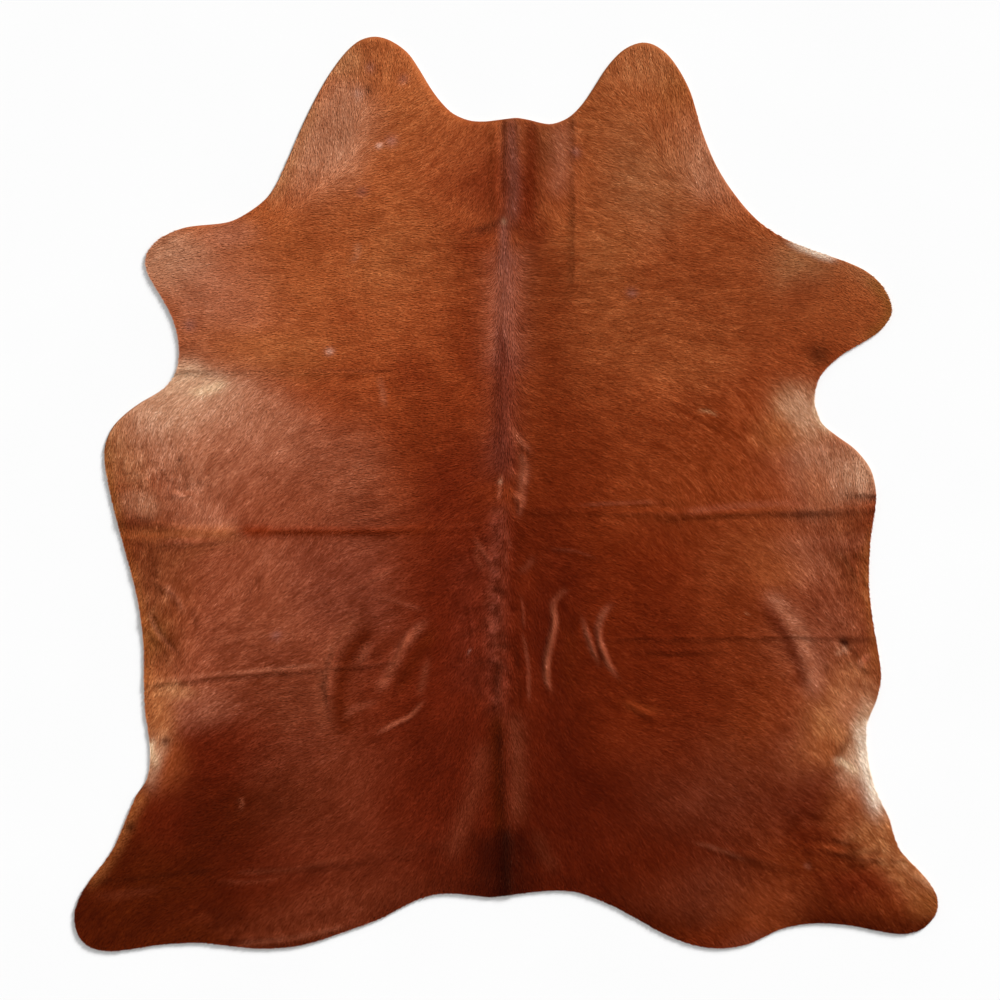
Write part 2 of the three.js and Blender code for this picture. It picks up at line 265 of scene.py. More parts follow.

# Soft bands along a line: name, tone, half width, strength, line. Besides the coat's own tones, they paint
# highlights on crests and lips and shade in troughs, folds and nicks.
BANDS = [
    # Painted highlight on the right flank's swell and painted shade beside it; painted shade in the nicks
    # there, and painted highlights on their lips, the curl and the edge line.
    ("right flank swell", "light rose", 18.4, 0.8, [(588, -217), (643, -272), (680, -336), (703, -401),
        (715, -484)]),
    ("right flank swell, shade", "haunch red", 11.5, 0.6, [(574, -240), (627, -304), (662, -369),
        (683, -461)]),
    ("nick on the right flank fold", "tail black", 6.9, 1.0, [(763, -336), (777, -342), (788, -348)]),
    ("lip of that nick", "cheek rose", 4.6, 0.7, [(754, -373), (770, -363), (786, -355)]),
    ("curl on the right flank, crest", "crest", 4.6, 0.7, [(809, -405), (818, -387), (841, -371)]),
    ("pale line on the right edge", "crest", 2.8, 0.5, [(791, -309), (823, -309), (855, -302)]),
    ("nick on the right ribs, lip", "cheek tan", 3, 0.9, [(441, 188), (464, 190), (485, 179)]),
    ("pale line below the shoulder", "light rose", 3.7, 0.45, [(-293, 275), (-286, 239), (-281, 193)]),
    ("pale lock on the left shoulder", "cheek rose", 4.6, 0.5, [(-346, 584), (-343, 556), (-355, 528)]),
    ("pale edge of the right armpit", "cream", 5.7, 0.6, [(722, 248), (710, 211), (719, 170), (749, 133)]),
    ("left of the spine", "saddle shade", 55.2, 0.55, [(-65, 595), (-74, 446), (-88, 262), (-97, 147)]),
    ("right of the spine", "saddle shade", 64.4, 0.6, [(89, 584), (96, 446), (96, 216), (94, 101)]),
    ("mane on the neck", "spine mauve", 13.8, 0.7, [(11, 887), (13, 791), (18, 699), (9, 602)]),
    ("right of the mane on the neck", "haunch red", 18.4, 0.75, [(55, 878), (59, 768), (48, 641),
        (41, 584)]),
    ("mane, top", "spine mauve", 11.5, 0.8, [(-7, 648), (-5, 595), (-3, 503)]),
    ("mane", "spine mauve", 36.8, 0.75, [(-3, 584), (2, 533), (-1, 446), (-3, 262)]),
    ("mane, low", "loin mauve", 36.8, 0.9, [(-3, 342), (-7, 170), (-12, 9)]),
    ("dark streak in the mane", "loin mauve", 11.5, 0.8, [(-21, 395), (-10, 342), (-3, 280)]),
    ("dark lens in the mane", "loin mauve", 25.3, 0.7, [(-17, 151), (-14, 101), (-10, 55)]),
    ("loin ground, left", "loin mauve", 36.8, 0.35, [(-74, -118), (-74, -290), (-79, -474)]),
    # Painted highlights on the wrinkles by the spine: the pale folds, flecks, locks, lines, curl, spot and
    # wrinkles below.
    ("pale fold by the spine", "crest", 6, 0.75, [(13, 151), (32, 124), (57, 94)]),
    ("pale fold by the spine, low", "crest", 7.8, 0.95, [(29, 105), (41, 64), (39, 27), (22, -28)]),
    ("pale fleck line", "crest", 4.6, 0.6, [(41, 20), (39, -14), (27, -60)]),
    ("pale lock on the spine", "crest", 4.1, 0.8, [(-12, 48), (-14, 20), (-17, -14)]),
    ("pale lock on the spine, low", "crest", 5.1, 0.35, [(-42, -47), (-21, -40), (4, -44)]),
    ("pale line on the loin, left", "crest", 4.1, 0.75, [(-79, -97), (-58, -125), (-37, -166), (-26, -198)]),
    ("pale line on the loin, far left", "crest", 3.7, 0.6, [(-70, -118), (-65, -152), (-42, -187)]),
    ("pale line on the loin, right", "crest", 4.1, 0.6, [(-14, -65), (2, -97), (9, -125)]),
    ("pale line below it", "crest", 3.4, 0.5, [(-10, -106), (-3, -143), (4, -175)]),
    ("oblique crest", "crest", 2.5, 0.25, [(89, -127), (158, -132), (216, -152)]),
    ("pale curl on the loin", "crest", 5.1, 0.4, [(22, -185), (50, -166), (64, -141)]),
    ("pale spot on the spine", "crest", 6, 0.4, [(-51, -226), (-35, -235), (-21, -247)]),
    ("pale flecks right of the spine", "crest", 2.8, 0.35, [(34, -226), (39, -272), (39, -318)]),
    ("pale line right of the spine", "crest", 3, 0.6, [(36, -318), (43, -348), (50, -392)]),
    ("pale line right of the spine, low", "crest", 3, 0.4, [(48, -364), (52, -424), (52, -486)]),
    ("pale wrinkle on the loin", "crest", 5.1, 0.7, [(-51, -272), (-37, -295), (-17, -336)]),
    ("pale wrinkle, right", "crest", 3, 0.5, [(-12, -309), (-7, -332), (-1, -350)]),
    # Painted highlights on the lips over the middle and loin folds and on the belly wrinkles.
    ("lip over the middle fold", "cheek rose", 16.1, 0.45, [(-934, -30), (-854, -33), (-785, -42)]),
    ("band over the middle fold", "light rose", 16.1, 0.5, [(-739, -67), (-670, -76), (-601, -79)]),
    ("lip over the middle fold, low", "crest", 3.7, 0.7, [(-808, -110), (-739, -110), (-658, -105)]),
    ("lip over the loin fold", "light rose", 4.1, 0.3, [(-819, -431), (-727, -421), (-589, -408),
        (-405, -392)]),
    ("belly wrinkle, pale", "light rose", 5.1, 0.35, [(-792, -203), (-762, -235), (-737, -277)]),
    ("belly wrinkle, pale line", "light rose", 3.4, 0.4, [(-826, -267), (-801, -320), (-760, -366)]),
    ("spine on the loin, ground", "rump red", 59.8, 0.85, [(-5, -14), (-21, -244), (-14, -474)]),
    ("mane on the loin", "spine brown", 20.7, 0.35, [(-14, 4), (-21, -106), (-26, -290), (-19, -474),
        (-10, -543)]),
    ("rump stripe", "rump maroon", 36.8, 0.5, [(-14, -451), (-7, -658), (-3, -946)]),
    ("lock left of the tail", "rump rose", 20.7, 0.5, [(-47, -555), (-65, -658), (-97, -750), (-139, -856)]),
    ("lock right of the tail", "rump rose", 18.4, 0.75, [(18, -488), (25, -589), (27, -704), (25, -778)]),
    ("lock right of the tail, low", "rump rose", 13.8, 0.4, [(68, -760), (85, -824), (124, -875)]),
    ("line above the tail", "shank maroon", 16.1, 0.85, [(-24, -484), (-21, -589), (-19, -693),
        (-10, -847)]),
    ("tail root, ground", "tail maroon", 69, 1.0, [(-14, -755), (-12, -888), (-10, -1072)]),
    ("tail stripe", "tail black", 10.3, 1.0, [(-1, -750), (-1, -856), (-3, -1072)]),
    ("pale neck band", "light rose", 20.7, 0.55, [(128, 878), (128, 791), (114, 664)]),
    ("left cheek edge", "cheek tan", 18.4, 0.6, [(-433, 917), (-474, 825), (-516, 722), (-562, 664)]),
    ("left flank edge", "edge tan", 13.8, 0.65, [(-819, -663), (-861, -732), (-907, -824), (-971, -911)]),
    ("left flank edge, pale", "cream", 6.9, 0.8, [(-817, -557), (-815, -594), (-803, -631)]),
    ("left armpit, pale tip", "cream", 10.3, 0.75, [(-638, 262), (-661, 248), (-693, 236), (-737, 232)]),
    ("pale band under that fold", "rump rose", 9.2, 0.25, [(-957, -927), (-877, -921), (-785, -907)]),
    # Painted highlights on the crests of the rump folds and the roll along the left buttock.
    ("rump crest, left", "rump rose", 4.6, 0.7, [(-631, -872), (-543, -868), (-474, -861), (-359, -833)]),
    ("rump crest, left, low", "rump rose", 3.7, 0.5, [(-670, -888), (-589, -893), (-497, -879)]),
    ("left buttock crest", "flank rose", 4.1, 0.6, [(-622, -1036), (-497, -1022), (-359, -992)]),
    ("scar on the left rump", "flank rose", 2.5, 0.8, [(-615, -697), (-608, -711), (-610, -727)]),
    ("left belly edge", "edge tan", 16.1, 0.75, [(-916, 9), (-888, -95), (-856, -221), (-838, -336),
        (-833, -474)]),
    ("left brisket edge", "ochre", 18.4, 0.5, [(-925, 147), (-921, 32), (-898, -83)]),
    ("tan band in the middle fold", "neck chestnut", 11.5, 0.6, [(-907, -93), (-819, -93), (-704, -90),
        (-603, -90)]),
    ("right flank edge", "white", 18.4, 0.9, [(834, -511), (830, -578), (834, -635), (850, -693),
        (878, -764)]),
    ("right leg edge", "flank tan", 23, 0.85, [(855, -695), (878, -764), (896, -808), (924, -847),
        (979, -907)]),
    ("nick on the right flank, pale", "cream", 6.4, 0.9, [(749, -612), (777, -619), (814, -647)]),
    # Painted highlights on the ripples of the right rump and hind leg.
    ("ripple on the right rump, pale", "flank rose", 3.7, 0.6, [(423, -801), (480, -815), (556, -845)]),
    ("crest on the right leg", "rib russet", 5.5, 0.6, [(694, -808), (768, -815), (855, -803)]),
    ("right shoulder edge", "white", 6.4, 0.85, [(641, 581), (703, 556), (763, 535)]),
    ("right shank edge", "ochre", 13.8, 0.6, [(818, 510), (878, 446), (873, 388), (814, 351)]),
    ("right belly edge", "edge tan", 13.8, 0.6, [(846, -60), (834, -187), (846, -313), (857, -428)]),
    # Painted shade along the middle fold, and painted highlights on its lips and on the brisket pleat.
    ("middle fold, left, start", "loin red", 13.8, 0.95, [(-622, -83), (-585, -86), (-530, -86)]),
    ("middle fold, left", "loin red", 9.7, 0.85, [(-580, -88), (-405, -88), (-244, -86), (-152, -79)]),
    ("middle fold, left, line", "trough", 4.1, 0.5, [(-562, -89), (-405, -89), (-244, -87), (-152, -76),
        (-28, -56)]),
    ("pleat on the brisket, crest", "light rose", 3.7, 0.6, [(-769, -7), (-741, -6), (-709, -10)]),
    ("lip of the fold, right", "crest", 5.5, 0.6, [(400, -43), (492, -33), (584, -25), (710, -21)]),
    ("middle fold by the spine, lip", "crest", 3, 0.35, [(158, -27), (262, -22), (365, -18)]),
    # Painted shade in the troughs of the haunches' crescents and painted highlights on their crests.
    ("left outer trough", "trough", 20.7, 0.9, [(-286, -295), (-343, -343), (-371, -394), (-382, -451),
        (-382, -502), (-359, -571)]),
    ("left inner trough", "trough", 11.5, 0.5, [(-249, -323), (-286, -350), (-318, -387)]),
    ("left outer crest", "flank rose", 16.1, 0.5, [(-332, -267), (-389, -336), (-417, -401), (-426, -474),
        (-415, -566)]),
    ("left inner crest", "crest", 6.9, 0.4, [(-309, -341), (-325, -364), (-339, -396)]),
    ("left crest, far in", "crest", 6.9, 0.35, [(-378, -525), (-346, -493), (-295, -477)]),
    ("left middle crest", "crest", 9.7, 0.62, [(-180, -286), (-231, -341), (-260, -392), (-297, -461)]),
    ("arc above the left crescents", "crest", 3.4, 0.3, [(-359, -231), (-295, -191), (-240, -166)]),
    ("arc above the left crescents, low", "crest", 3.2, 0.3, [(-332, -221), (-263, -244), (-180, -272)]),
    ("left lower crest", "crest", 3.9, 0.65, [(-187, -472), (-221, -511), (-254, -527), (-300, -553)]),
    ("crest by the spine, top", "crest", 4.1, 0.5, [(142, -217), (126, -231), (112, -249)]),
    ("crest by the spine", "crest", 5.5, 0.85, [(121, -228), (108, -258), (112, -295), (103, -336),
        (94, -382), (94, -428), (105, -456)]),
    ("right middle crest", "crest", 4.4, 0.8, [(172, -277), (183, -313), (197, -355), (216, -401)]),
    ("right outer crest", "crest", 5.1, 0.9, [(248, -244), (220, -283), (213, -323), (223, -359),
        (236, -392), (259, -428)]),
    ("left middle trough", "trough", 16.1, 0.85, [(-152, -295), (-198, -359), (-228, -410), (-254, -465)]),
    ("trough between the right crests", "trough", 20.7, 0.5, [(151, -267), (142, -359), (151, -474)]),
    ("right lower crest", "rib russet", 11.5, 0.6, [(257, -474), (308, -493), (358, -502)]),
    ("crest left of the croup", "flank rose", 6.9, 0.3, [(-180, -371), (-189, -417), (-201, -470)]),
]

# Painted shade: dark lines in folds, partings and nicks, and a few dark spots and locks: name, half width,
# strength, line.
SHADES = [
    ("right belly wrinkle, high", 5.1, 0.5, [(740, -127), (791, -141), (837, -143)]),
    ("right belly wrinkle, middle", 4.6, 0.4, [(768, -187), (804, -198), (832, -194)]),
    ("right belly wrinkle, low", 5.1, 0.35, [(758, -249), (795, -240), (827, -226)]),
    ("curl on the right flank", 4.6, 0.8, [(786, -369), (802, -392), (827, -410), (818, -421)]),
    ("nick on the right ribs", 3, 0.8, [(439, 200), (457, 195), (476, 193)]),
    ("oblique crease", 3.9, 0.5, [(80, -120), (135, -136), (229, -164)]),
    ("line over the middle fold", 2.5, 0.4, [(-796, -60), (-704, -59), (-589, -63)]),
    ("short line in the middle fold", 2.8, 0.6, [(-792, -99), (-750, -101), (-714, -103)]),
    ("parting on the rump", 5.1, 0.6, [(-19, -474), (-14, -612), (-7, -773)]),
    ("parting on the neck", 5.5, 1.0, [(-4, 924), (-4, 791), (-7, 676)]),
    ("dark lock left of the mane", 8.3, 0.85, [(13, 639), (-33, 616), (-74, 602), (-125, 584)]),
    ("dark lock right of the mane", 6.9, 0.65, [(-1, 634), (32, 609), (78, 588)]),
    ("fold in the left hind leg", 5.5, 0.5, [(-962, -895), (-819, -881), (-658, -865)]),
    ("nick on the right flank, curve", 7.4, 1.0, [(798, -539), (777, -580), (756, -612)]),
    ("ripple on the right rump, dark", 5.1, 0.45, [(533, -849), (607, -863), (676, -879)]),
    ("ripple on the right leg, upper", 5.5, 0.55, [(685, -787), (745, -799), (804, -792)]),
    ("ripple on the right leg, middle", 5.5, 0.6, [(680, -822), (768, -829), (883, -819)]),
    ("ripple on the right leg, lower", 5.1, 0.5, [(694, -861), (768, -861), (869, -845)]),
    ("left shoulder fold", 2.8, 0.85, [(-778, 282), (-647, 283), (-474, 283), (-249, 282)]),
    ("left shoulder fold, outer", 4.1, 0.9, [(-773, 280), (-716, 281), (-665, 279)]),
    ("second line of the middle fold", 4.1, 0.5, [(-819, -120), (-704, -119), (-603, -106)]),
    ("dark lens on the loin", 10.3, 0.6, [(-44, -97), (-33, -134), (-17, -194)]),
    ("wrinkle down the loin, left", 4.1, 0.7, [(-72, -106), (-58, -136), (-33, -180)]),
    ("dark line down the spine", 5.1, 0.5, [(-24, -60), (-19, -118), (-17, -187)]),
    ("mark on the spine", 6, 1.0, [(-51, -212), (-28, -217), (4, -231)]),
    ("dark spot on the spine", 6.9, 1.0, [(-60, -251), (-33, -256), (-10, -260)]),
    ("dark spot on the spine, low", 7.8, 1.0, [(-35, -244), (-19, -279), (-10, -323)]),
    ("dark mark below it", 4.6, 0.9, [(-47, -323), (-30, -329), (-10, -332)]),
    ("arc left of the spine", 4.1, 0.6, [(-97, -329), (-65, -309), (-33, -304)]),
    ("wrinkle across the spine", 4.1, 0.8, [(-47, -343), (-14, -350), (22, -346)]),
    ("wrinkle across the spine, low", 4.1, 0.8, [(-83, -387), (-49, -387), (-19, -392), (22, -415)]),
    ("line on the spine", 6, 0.8, [(-19, -382), (-19, -438), (-17, -502)]),
    ("shade left of the spine", 16.1, 0.35, [(-67, -373), (-67, -440), (-74, -520)]),
    ("shade right of the spine", 5.5, 0.5, [(22, -336), (29, -417), (36, -520)]),
    ("vein, upper", 3.2, 0.45, [(-553, -118), (-553, -152), (-569, -198), (-562, -249)]),
    ("vein, lower", 3.2, 0.5, [(-576, -198), (-594, -249), (-599, -309)]),
    ("belly wrinkle, dark", 4.4, 0.8, [(-822, -247), (-796, -311), (-746, -373)]),
    ("belly wrinkle, short", 4.6, 0.55, [(-734, -249), (-714, -286), (-709, -336)]),
    ("belly wrinkle, high", 4.6, 0.35, [(-819, -125), (-806, -187), (-783, -244)]),
    ("pleat on the brisket, upper", 3.7, 0.5, [(-785, 32), (-739, 36), (-681, 22)]),
    ("pleat on the brisket, lower", 4.1, 0.5, [(-792, 11), (-739, 16), (-677, 16)]),
    ("brown streak on the brisket", 8, 0.35, [(-893, 45), (-854, 41), (-829, 4)]),
    ("brown streak on the brisket, high", 6.9, 0.3, [(-819, 64), (-785, 45), (-769, 22)]),
    ("line on the brisket", 3.4, 0.35, [(-916, 117), (-870, 110), (-819, 112)]),
    ("line on the brisket, low", 3.4, 0.3, [(-907, -5), (-842, -12), (-796, -7)]),
    ("middle fold, left edge", 9.2, 0.65, [(-925, -67), (-865, -65), (-801, -63)]),
    ("middle fold by the spine", 3.4, 0.5, [(20, -37), (216, -30), (331, -27), (446, -26)]),
    ("middle fold, right end", 9.7, 0.8, [(607, -47), (722, -49), (860, -48)]),
    ("right brisket fold", 3.4, 0.45, [(664, 82), (722, 79), (781, 85)]),
    ("middle fold, right", 3.9, 0.6, [(331, -64), (446, -57), (538, -49), (676, -39)]),
    ("right brisket pleat", 3.4, 0.8, [(763, 2), (814, -3), (860, -3)]),
    ("loin fold, left", 3, 0.85, [(-829, -444), (-727, -431), (-589, -416), (-428, -405), (-240, -388)]),
    ("loin fold, right", 2.8, 0.9, [(206, -334), (308, -333), (584, -331), (791, -331)]),
    ("short fold, right", 6, 0.5, [(296, -364), (400, -365), (515, -362)]),
    ("rump fold, left", 9.2, 0.35, [(-589, -865), (-382, -845), (-129, -803)]),
    ("rump fold, right", 9.2, 0.35, [(423, -803), (515, -829), (653, -863)]),
    ("neck crease", 5.5, 0.4, [(149, 887), (149, 745), (147, 618), (142, 533)]),
]

# Ridges of the folds and wrinkles: name, height, half width, line.
CREASES = [
    ("neck, left of the parting", 2.5, 18, [(-26, 952), (-26, 768), (-21, 584)]),
    ("neck, right of the parting", 3, 22, [(25, 952), (25, 768), (20, 584)]),
    ("spine, shoulders to loin", 3.5, 36, [(13, 671), (6, 501), (-1, 377), (-7, 170), (4, -37)]),
    ("spine, loin to tail", 3.5, 30, [(4, 32), (-7, -152), (-19, -359), (-7, -612), (4, -1049)]),
    ("neck crease", 1.8, 12, [(151, 975), (154, 676), (149, 423)]),
    ("left shoulder fold", 1.8, 12, [(-865, 281), (-647, 279), (-474, 279), (-267, 275)]),
    ("middle fold, left half", 2.6, 16, [(-1003, -63), (-819, -73), (-681, -86), (-474, -86), (-244, -86),
        (-33, -74)]),
    ("middle fold, right half", 2.6, 16, [(-7, -42), (216, -40), (446, -47), (630, -42), (963, -33)]),
    ("right brisket pleat", 3, 10, [(735, -1), (837, -3), (963, -3)]),
    ("loin fold, left half", 2.4, 13, [(-934, -454), (-727, -428), (-589, -415), (-428, -405),
        (-244, -389)]),
    ("loin fold, right half", 2.4, 13, [(124, -338), (308, -335), (584, -332), (952, -329)]),
    ("short fold below it", 1.8, 12, [(273, -364), (400, -365), (538, -362)]),
    ("rump fold, left half", 3, 20, [(-624, -865), (-497, -858), (-359, -845), (-221, -826), (-95, -796)]),
    ("rump fold, right half", 3, 18, [(411, -796), (515, -824), (664, -863)]),
    ("roll along the left buttock", 3, 14, [(-670, -1026), (-474, -1013), (-313, -978)]),
    ("ripple in the right hind shank", 3, 14, [(710, -801), (791, -833), (975, -842)]),
    ("left haunch, outer crescent", 5.5, 17, [(-343, -283), (-380, -336), (-403, -387), (-412, -451),
        (-401, -520)]),
    ("left haunch, inner crescent", 3.5, 12, [(-295, -325), (-318, -364), (-343, -403)]),
    ("left haunch, middle crescent", 5.5, 14, [(-214, -281), (-237, -348), (-260, -401), (-290, -444)]),
    ("left haunch, lower crescent", 4, 12, [(-187, -472), (-217, -511), (-254, -530), (-302, -557)]),
    ("left haunch, upper crescent", 3, 14, [(-251, -166), (-309, -194), (-364, -240)]),
    ("right haunch, crescent by the spine", 5.5, 14, [(131, -221), (110, -254), (110, -295), (101, -348),
        (91, -387), (96, -438), (103, -493)]),
    ("right haunch, middle crescent", 4.5, 11, [(172, -281), (188, -325), (200, -359), (216, -396)]),
    ("right haunch, outer crescent", 5.5, 13, [(239, -247), (216, -295), (213, -336), (227, -375),
        (259, -424)]),
    ("right haunch, lower crescent", 3, 14, [(264, -472), (308, -500), (358, -525)]),
    ("right flank swell", 4, 32, [(561, -226), (641, -309), (683, -387), (715, -486)]),
    ("left brisket pleat", 3.5, 11, [(-796, 4), (-746, -5), (-697, 6)]),
    ("left belly wrinkle, upper", 2.6, 14, [(-829, -191), (-769, -231), (-732, -279)]),
    ("left belly wrinkle, lower", 3, 13, [(-900, -231), (-796, -343), (-741, -405)]),
    ("right belly wrinkle", 3.5, 13, [(758, -118), (795, -164), (818, -233)]),
    ("spine wrinkle 1", 2, 7, [(32, 147), (39, 89), (36, 43)]),
    ("spine wrinkle 2", 2.2, 7, [(16, 9), (29, -26), (18, -60)]),
    ("spine wrinkle 3", 2, 6, [(-19, 32), (-21, -26), (-12, -72)]),
    ("spine wrinkle 4", 2, 6, [(-3, -106), (-10, -164), (-3, -221)]),
    ("spine wrinkle 5", 2, 6, [(29, -217), (36, -272), (43, -336)]),
    ("spine wrinkle 6", 1.8, 6, [(48, -382), (43, -433), (50, -474)]),
    ("left belly wrinkle, small", 2, 8, [(-819, 55), (-783, 32), (-741, 36)]),
    ("left flank wrinkle, edge", 2.2, 9, [(-796, -109), (-755, -106), (-709, -113)]),
    ("spine wrinkle 7", 2, 6, [(-65, -113), (-40, -152), (-19, -194)]),
    ("spine wrinkle 8", 1.8, 8, [(-93, -221), (-83, -290), (-74, -359)]),
    ("spine wrinkle 9", 2, 8, [(13, 147), (52, 96), (39, 55), (32, -14)]),
    ("left flank vein", 1.2, 5, [(-562, -136), (-580, -187), (-585, -226), (-603, -258), (-605, -336)]),
    ("right flank curl", 2.4, 9, [(763, -341), (795, -355), (818, -382), (827, -417)]),
    ("right flank curl, inner", 2, 7, [(768, -371), (791, -387), (804, -415)]),
    ("right hind ripple, upper", 2, 10, [(717, -773), (779, -801), (848, -810)]),
    ("left buttock ripple", 1.8, 12, [(-589, -1036), (-474, -1026), (-371, -1003)]),
]

# The lie of the hair: place, distance from the spine, y, fall below straight out in degrees.
NAP = [
    ("neck, by the spine", 57, 791, 52),
    ("neck", 143, 756, 42),
    ("neck, low", 64, 664, 55),
    ("cheek root", 241, 837, 22),
    ("cheek tip", 345, 986, 84),
    ("cheek", 425, 848, 88),
    ("below the cheek", 488, 733, 76),
    ("throat", 253, 676, 15),
    ("throat, low", 391, 641, 9),
    ("withers", 87, 526, -4),
    ("shoulder top", 207, 515, 2),
    ("shoulder", 460, 538, 8),
    ("fore leg root", 690, 515, 14),
    ("fore shank", 805, 480, 30),
    ("back", 110, 365, 5),
    ("back, out", 276, 377, 5),
    ("shoulder, low", 506, 354, 10),
    ("armpit", 667, 319, 18),
    ("armpit, edge", 718, 234, 52),
    ("saddle", 103, 147, 16),
    ("saddle, out", 253, 147, 12),
    ("ribs", 460, 147, 32),
    ("brisket root", 621, 147, 50),
    ("brisket", 777, 78, 78),
    ("ribs, edge", 690, -14, 58),
    ("brisket, low", 842, -60, 74),
    ("loin", 103, -60, 32),
    ("loin, out", 253, -60, 22),
    ("flank", 460, -72, 40),
    ("flank, out", 621, -118, 44),
    ("belly", 793, -244, 62),
    ("croup", 83, -290, 62),
    ("croup, out", 230, -290, 26),
    ("haunch", 414, -290, 26),
    ("haunch, out", 603, -336, 30),
    ("belly, low", 800, -382, 64),
    ("rump", 83, -486, 62),
    ("rump, out", 230, -474, 28),
    ("thigh", 437, -486, 12),
    ("thigh, out", 644, -502, 30),
    ("flank edge", 805, -589, 58),
    ("rump, low", 87, -704, 60),
    ("buttock top", 230, -681, 42),
    ("buttock", 437, -681, 36),
    ("gaskin", 644, -704, 38),
    ("hock", 770, -842, 40),
    ("tail root", 83, -893, 66),
    ("buttock, low", 276, -888, 50),
    ("buttock edge", 471, -946, 50),
    ("hock, low", 690, -911, 36),
    ("hind shank", 920, -980, 48),
]

# Small marks: name, tone, x, y, radius, strength.
MARKS = [
    ("fleck on the spine", "sand", -14, 27, 3.7, 0.6),
    ("fleck on the loin", "mark pale", -86, -364, 2.3, 0.35),
    ("fleck over the spine", "sand", -6, 625, 5.1, 0.6),
    ("mark on the left shoulder", "mark pale", -407, 327, 6.4, 0.7),
    ("mark on the left cheek", "mark mauve", -313, 979, 9.2, 0.5),
    ("mark by the cheek edge", "mark mauve", -237, 952, 9.2, 0.45),
    ("mark under the left cheek", "mark mauve", -265, 811, 11.5, 0.5),
    ("pale hair under the left cheek", "mark pale", -293, 800, 5.1, 0.8),
    ("mark on the left neck", "mark mauve", -332, 694, 9.2, 0.45),
    # Painted shade in a nick.
    ("nick on the left cheek", "crease", -318, 929, 6, 0.75),
    ("whorl on the left cheek", "mark pale", -341, 919, 10.3, 0.5),
    ("mark by the neck crease", "mark mauve", 160, 784, 9.2, 0.55),
    ("mark on the right shoulder", "mark mauve", 289, 462, 9.2, 0.55),
    ("mark on the left flank", "mark mauve", -530, -327, 8.3, 0.5),
    ("mark on the left fore leg", "mark mauve", -727, 388, 11.5, 0.5),
    ("shade on the left fore leg", "light rose", -723, 446, 20.7, 0.5),
    ("spot on the right flank", "crease", 738, -398, 6, 0.5),
    ("fleck on the right back", "cheek tan", 556, -277, 2.3, 0.9),
    ("spot on the right fore leg", "crease", 717, 319, 20.7, 0.7),
    ("mark on the left flank edge", "crease", -783, -569, 8.3, 0.9),
    ("mark on the left hock", "tail black", -865, -766, 10.3, 0.8),
    ("scar on the right hock", "light rose", 694, -856, 5.1, 0.5),
    # Painted shade in the nick on the left brisket, and painted highlights on the lips on the brisket and
    # flank.
    ("nick on the left brisket", "crease", -750, 78, 5.5, 0.7),
    ("lip on the left brisket", "light rose", -748, -6, 6.9, 0.4),
    ("lip on the left flank", "light rose", -773, -231, 6.9, 0.35),
]

# Places where the skin is finely crumpled: name, half width, strength, line. The crumples rise in the
# relief, and the coat over them is painted lighter on their ridges and darker in their hollows.
CRUMPLES = [
    ("spine on the loin", 39.1, 0.24, [(-37, -79), (-30, -244), (-19, -474)]),
    ("spine on the back", 20.7, 0.18, [(-3, 158), (27, 55), (9, -60)]),
    ("left of the spine", 29.9, 0.14, [(-95, -152), (-106, -336), (-102, -474)]),
    ("left brisket", 59.8, 0.13, [(-907, 55), (-773, 27), (-670, 4)]),
    ("left belly", 46, 0.15, [(-852, -118), (-796, -244), (-769, -373)]),
    ("right belly", 46, 0.17, [(795, -106), (804, -198), (791, -272)]),
    ("right flank", 32.2, 0.2, [(758, -336), (791, -371), (832, -428)]),
    ("right brisket", 46, 0.12, [(710, 112), (768, 66), (791, -14)]),
    ("right hind shank", 64.4, 0.16, [(653, -750), (791, -808), (917, -888)]),
    ("left cheek", 59.8, 0.05, [(-371, 998), (-394, 883), (-433, 756)]),
    ("left fore leg", 59.8, 0.06, [(-785, 561), (-739, 446), (-704, 331)]),
    ("haunches, left", 59.8, 0.09, [(-359, -244), (-290, -382), (-267, -543)]),
    ("haunches, right", 59.8, 0.07, [(124, -198), (193, -336), (216, -474)]),
    ("left flank edge", 27.6, 0.08, [(-808, -451), (-796, -566), (-842, -704)]),
    ("left buttock", 50.6, 0.12, [(-670, -1003), (-520, -992), (-359, -946)]),
]

# How much the hairs differ from each other: place, x, y, reach, level.
GRAIN_LEVELS = [
    ("left fore leg", -670, 469, 207, 0.35),
    ("right fore leg", 745, 446, 138, 0.35),
    ("left cheek", -371, 883, 138, 0.75),
    ("left shoulder", -405, 446, 184, 0.75),
    ("saddle, left", -152, 170, 115, 0.65),
    ("right ribs", 492, 170, 161, 1.6),
    ("left brisket", -773, 78, 115, 1.3),
    ("left flank", -474, -244, 207, 1.3),
    ("left belly", -750, -267, 115, 1.4),
    ("right belly", 745, -198, 138, 1.4),
    ("right haunch", 653, -451, 138, 1.5),
    ("left thigh", -658, -520, 138, 1.5),
    ("right hind leg", 791, -842, 138, 1.8),
    ("right buttock", 538, -819, 115, 1.5),
    ("left rump", -704, -796, 184, 0.7),
    ("right of the tail", 147, -704, 138, 0.7),
    ("left of the tail", -129, -474, 103, 0.6),
]


# Plan grid: every field is an array of rows (y) and columns (x).
CELL = 0.0025
LOW_X, LOW_Y = -1.03, -1.09
COLS, ROWS = 824, 872
GRID_X = LOW_X + CELL * np.arange(COLS)
GRID_Y = LOW_Y + CELL * np.arange(ROWS)
PLAN_X, PLAN_Y = np.meshgrid(GRID_X, GRID_Y)


def metres(*lengths):
    """Lengths or points in millimetres, as metres."""
    return [np.array(length) / 1000 for length in lengths]


def smooth(t):
    """A soft step from 0 to 1."""
    t = np.clip(t, 0, 1)
    return t * t * (3 - 2 * t)


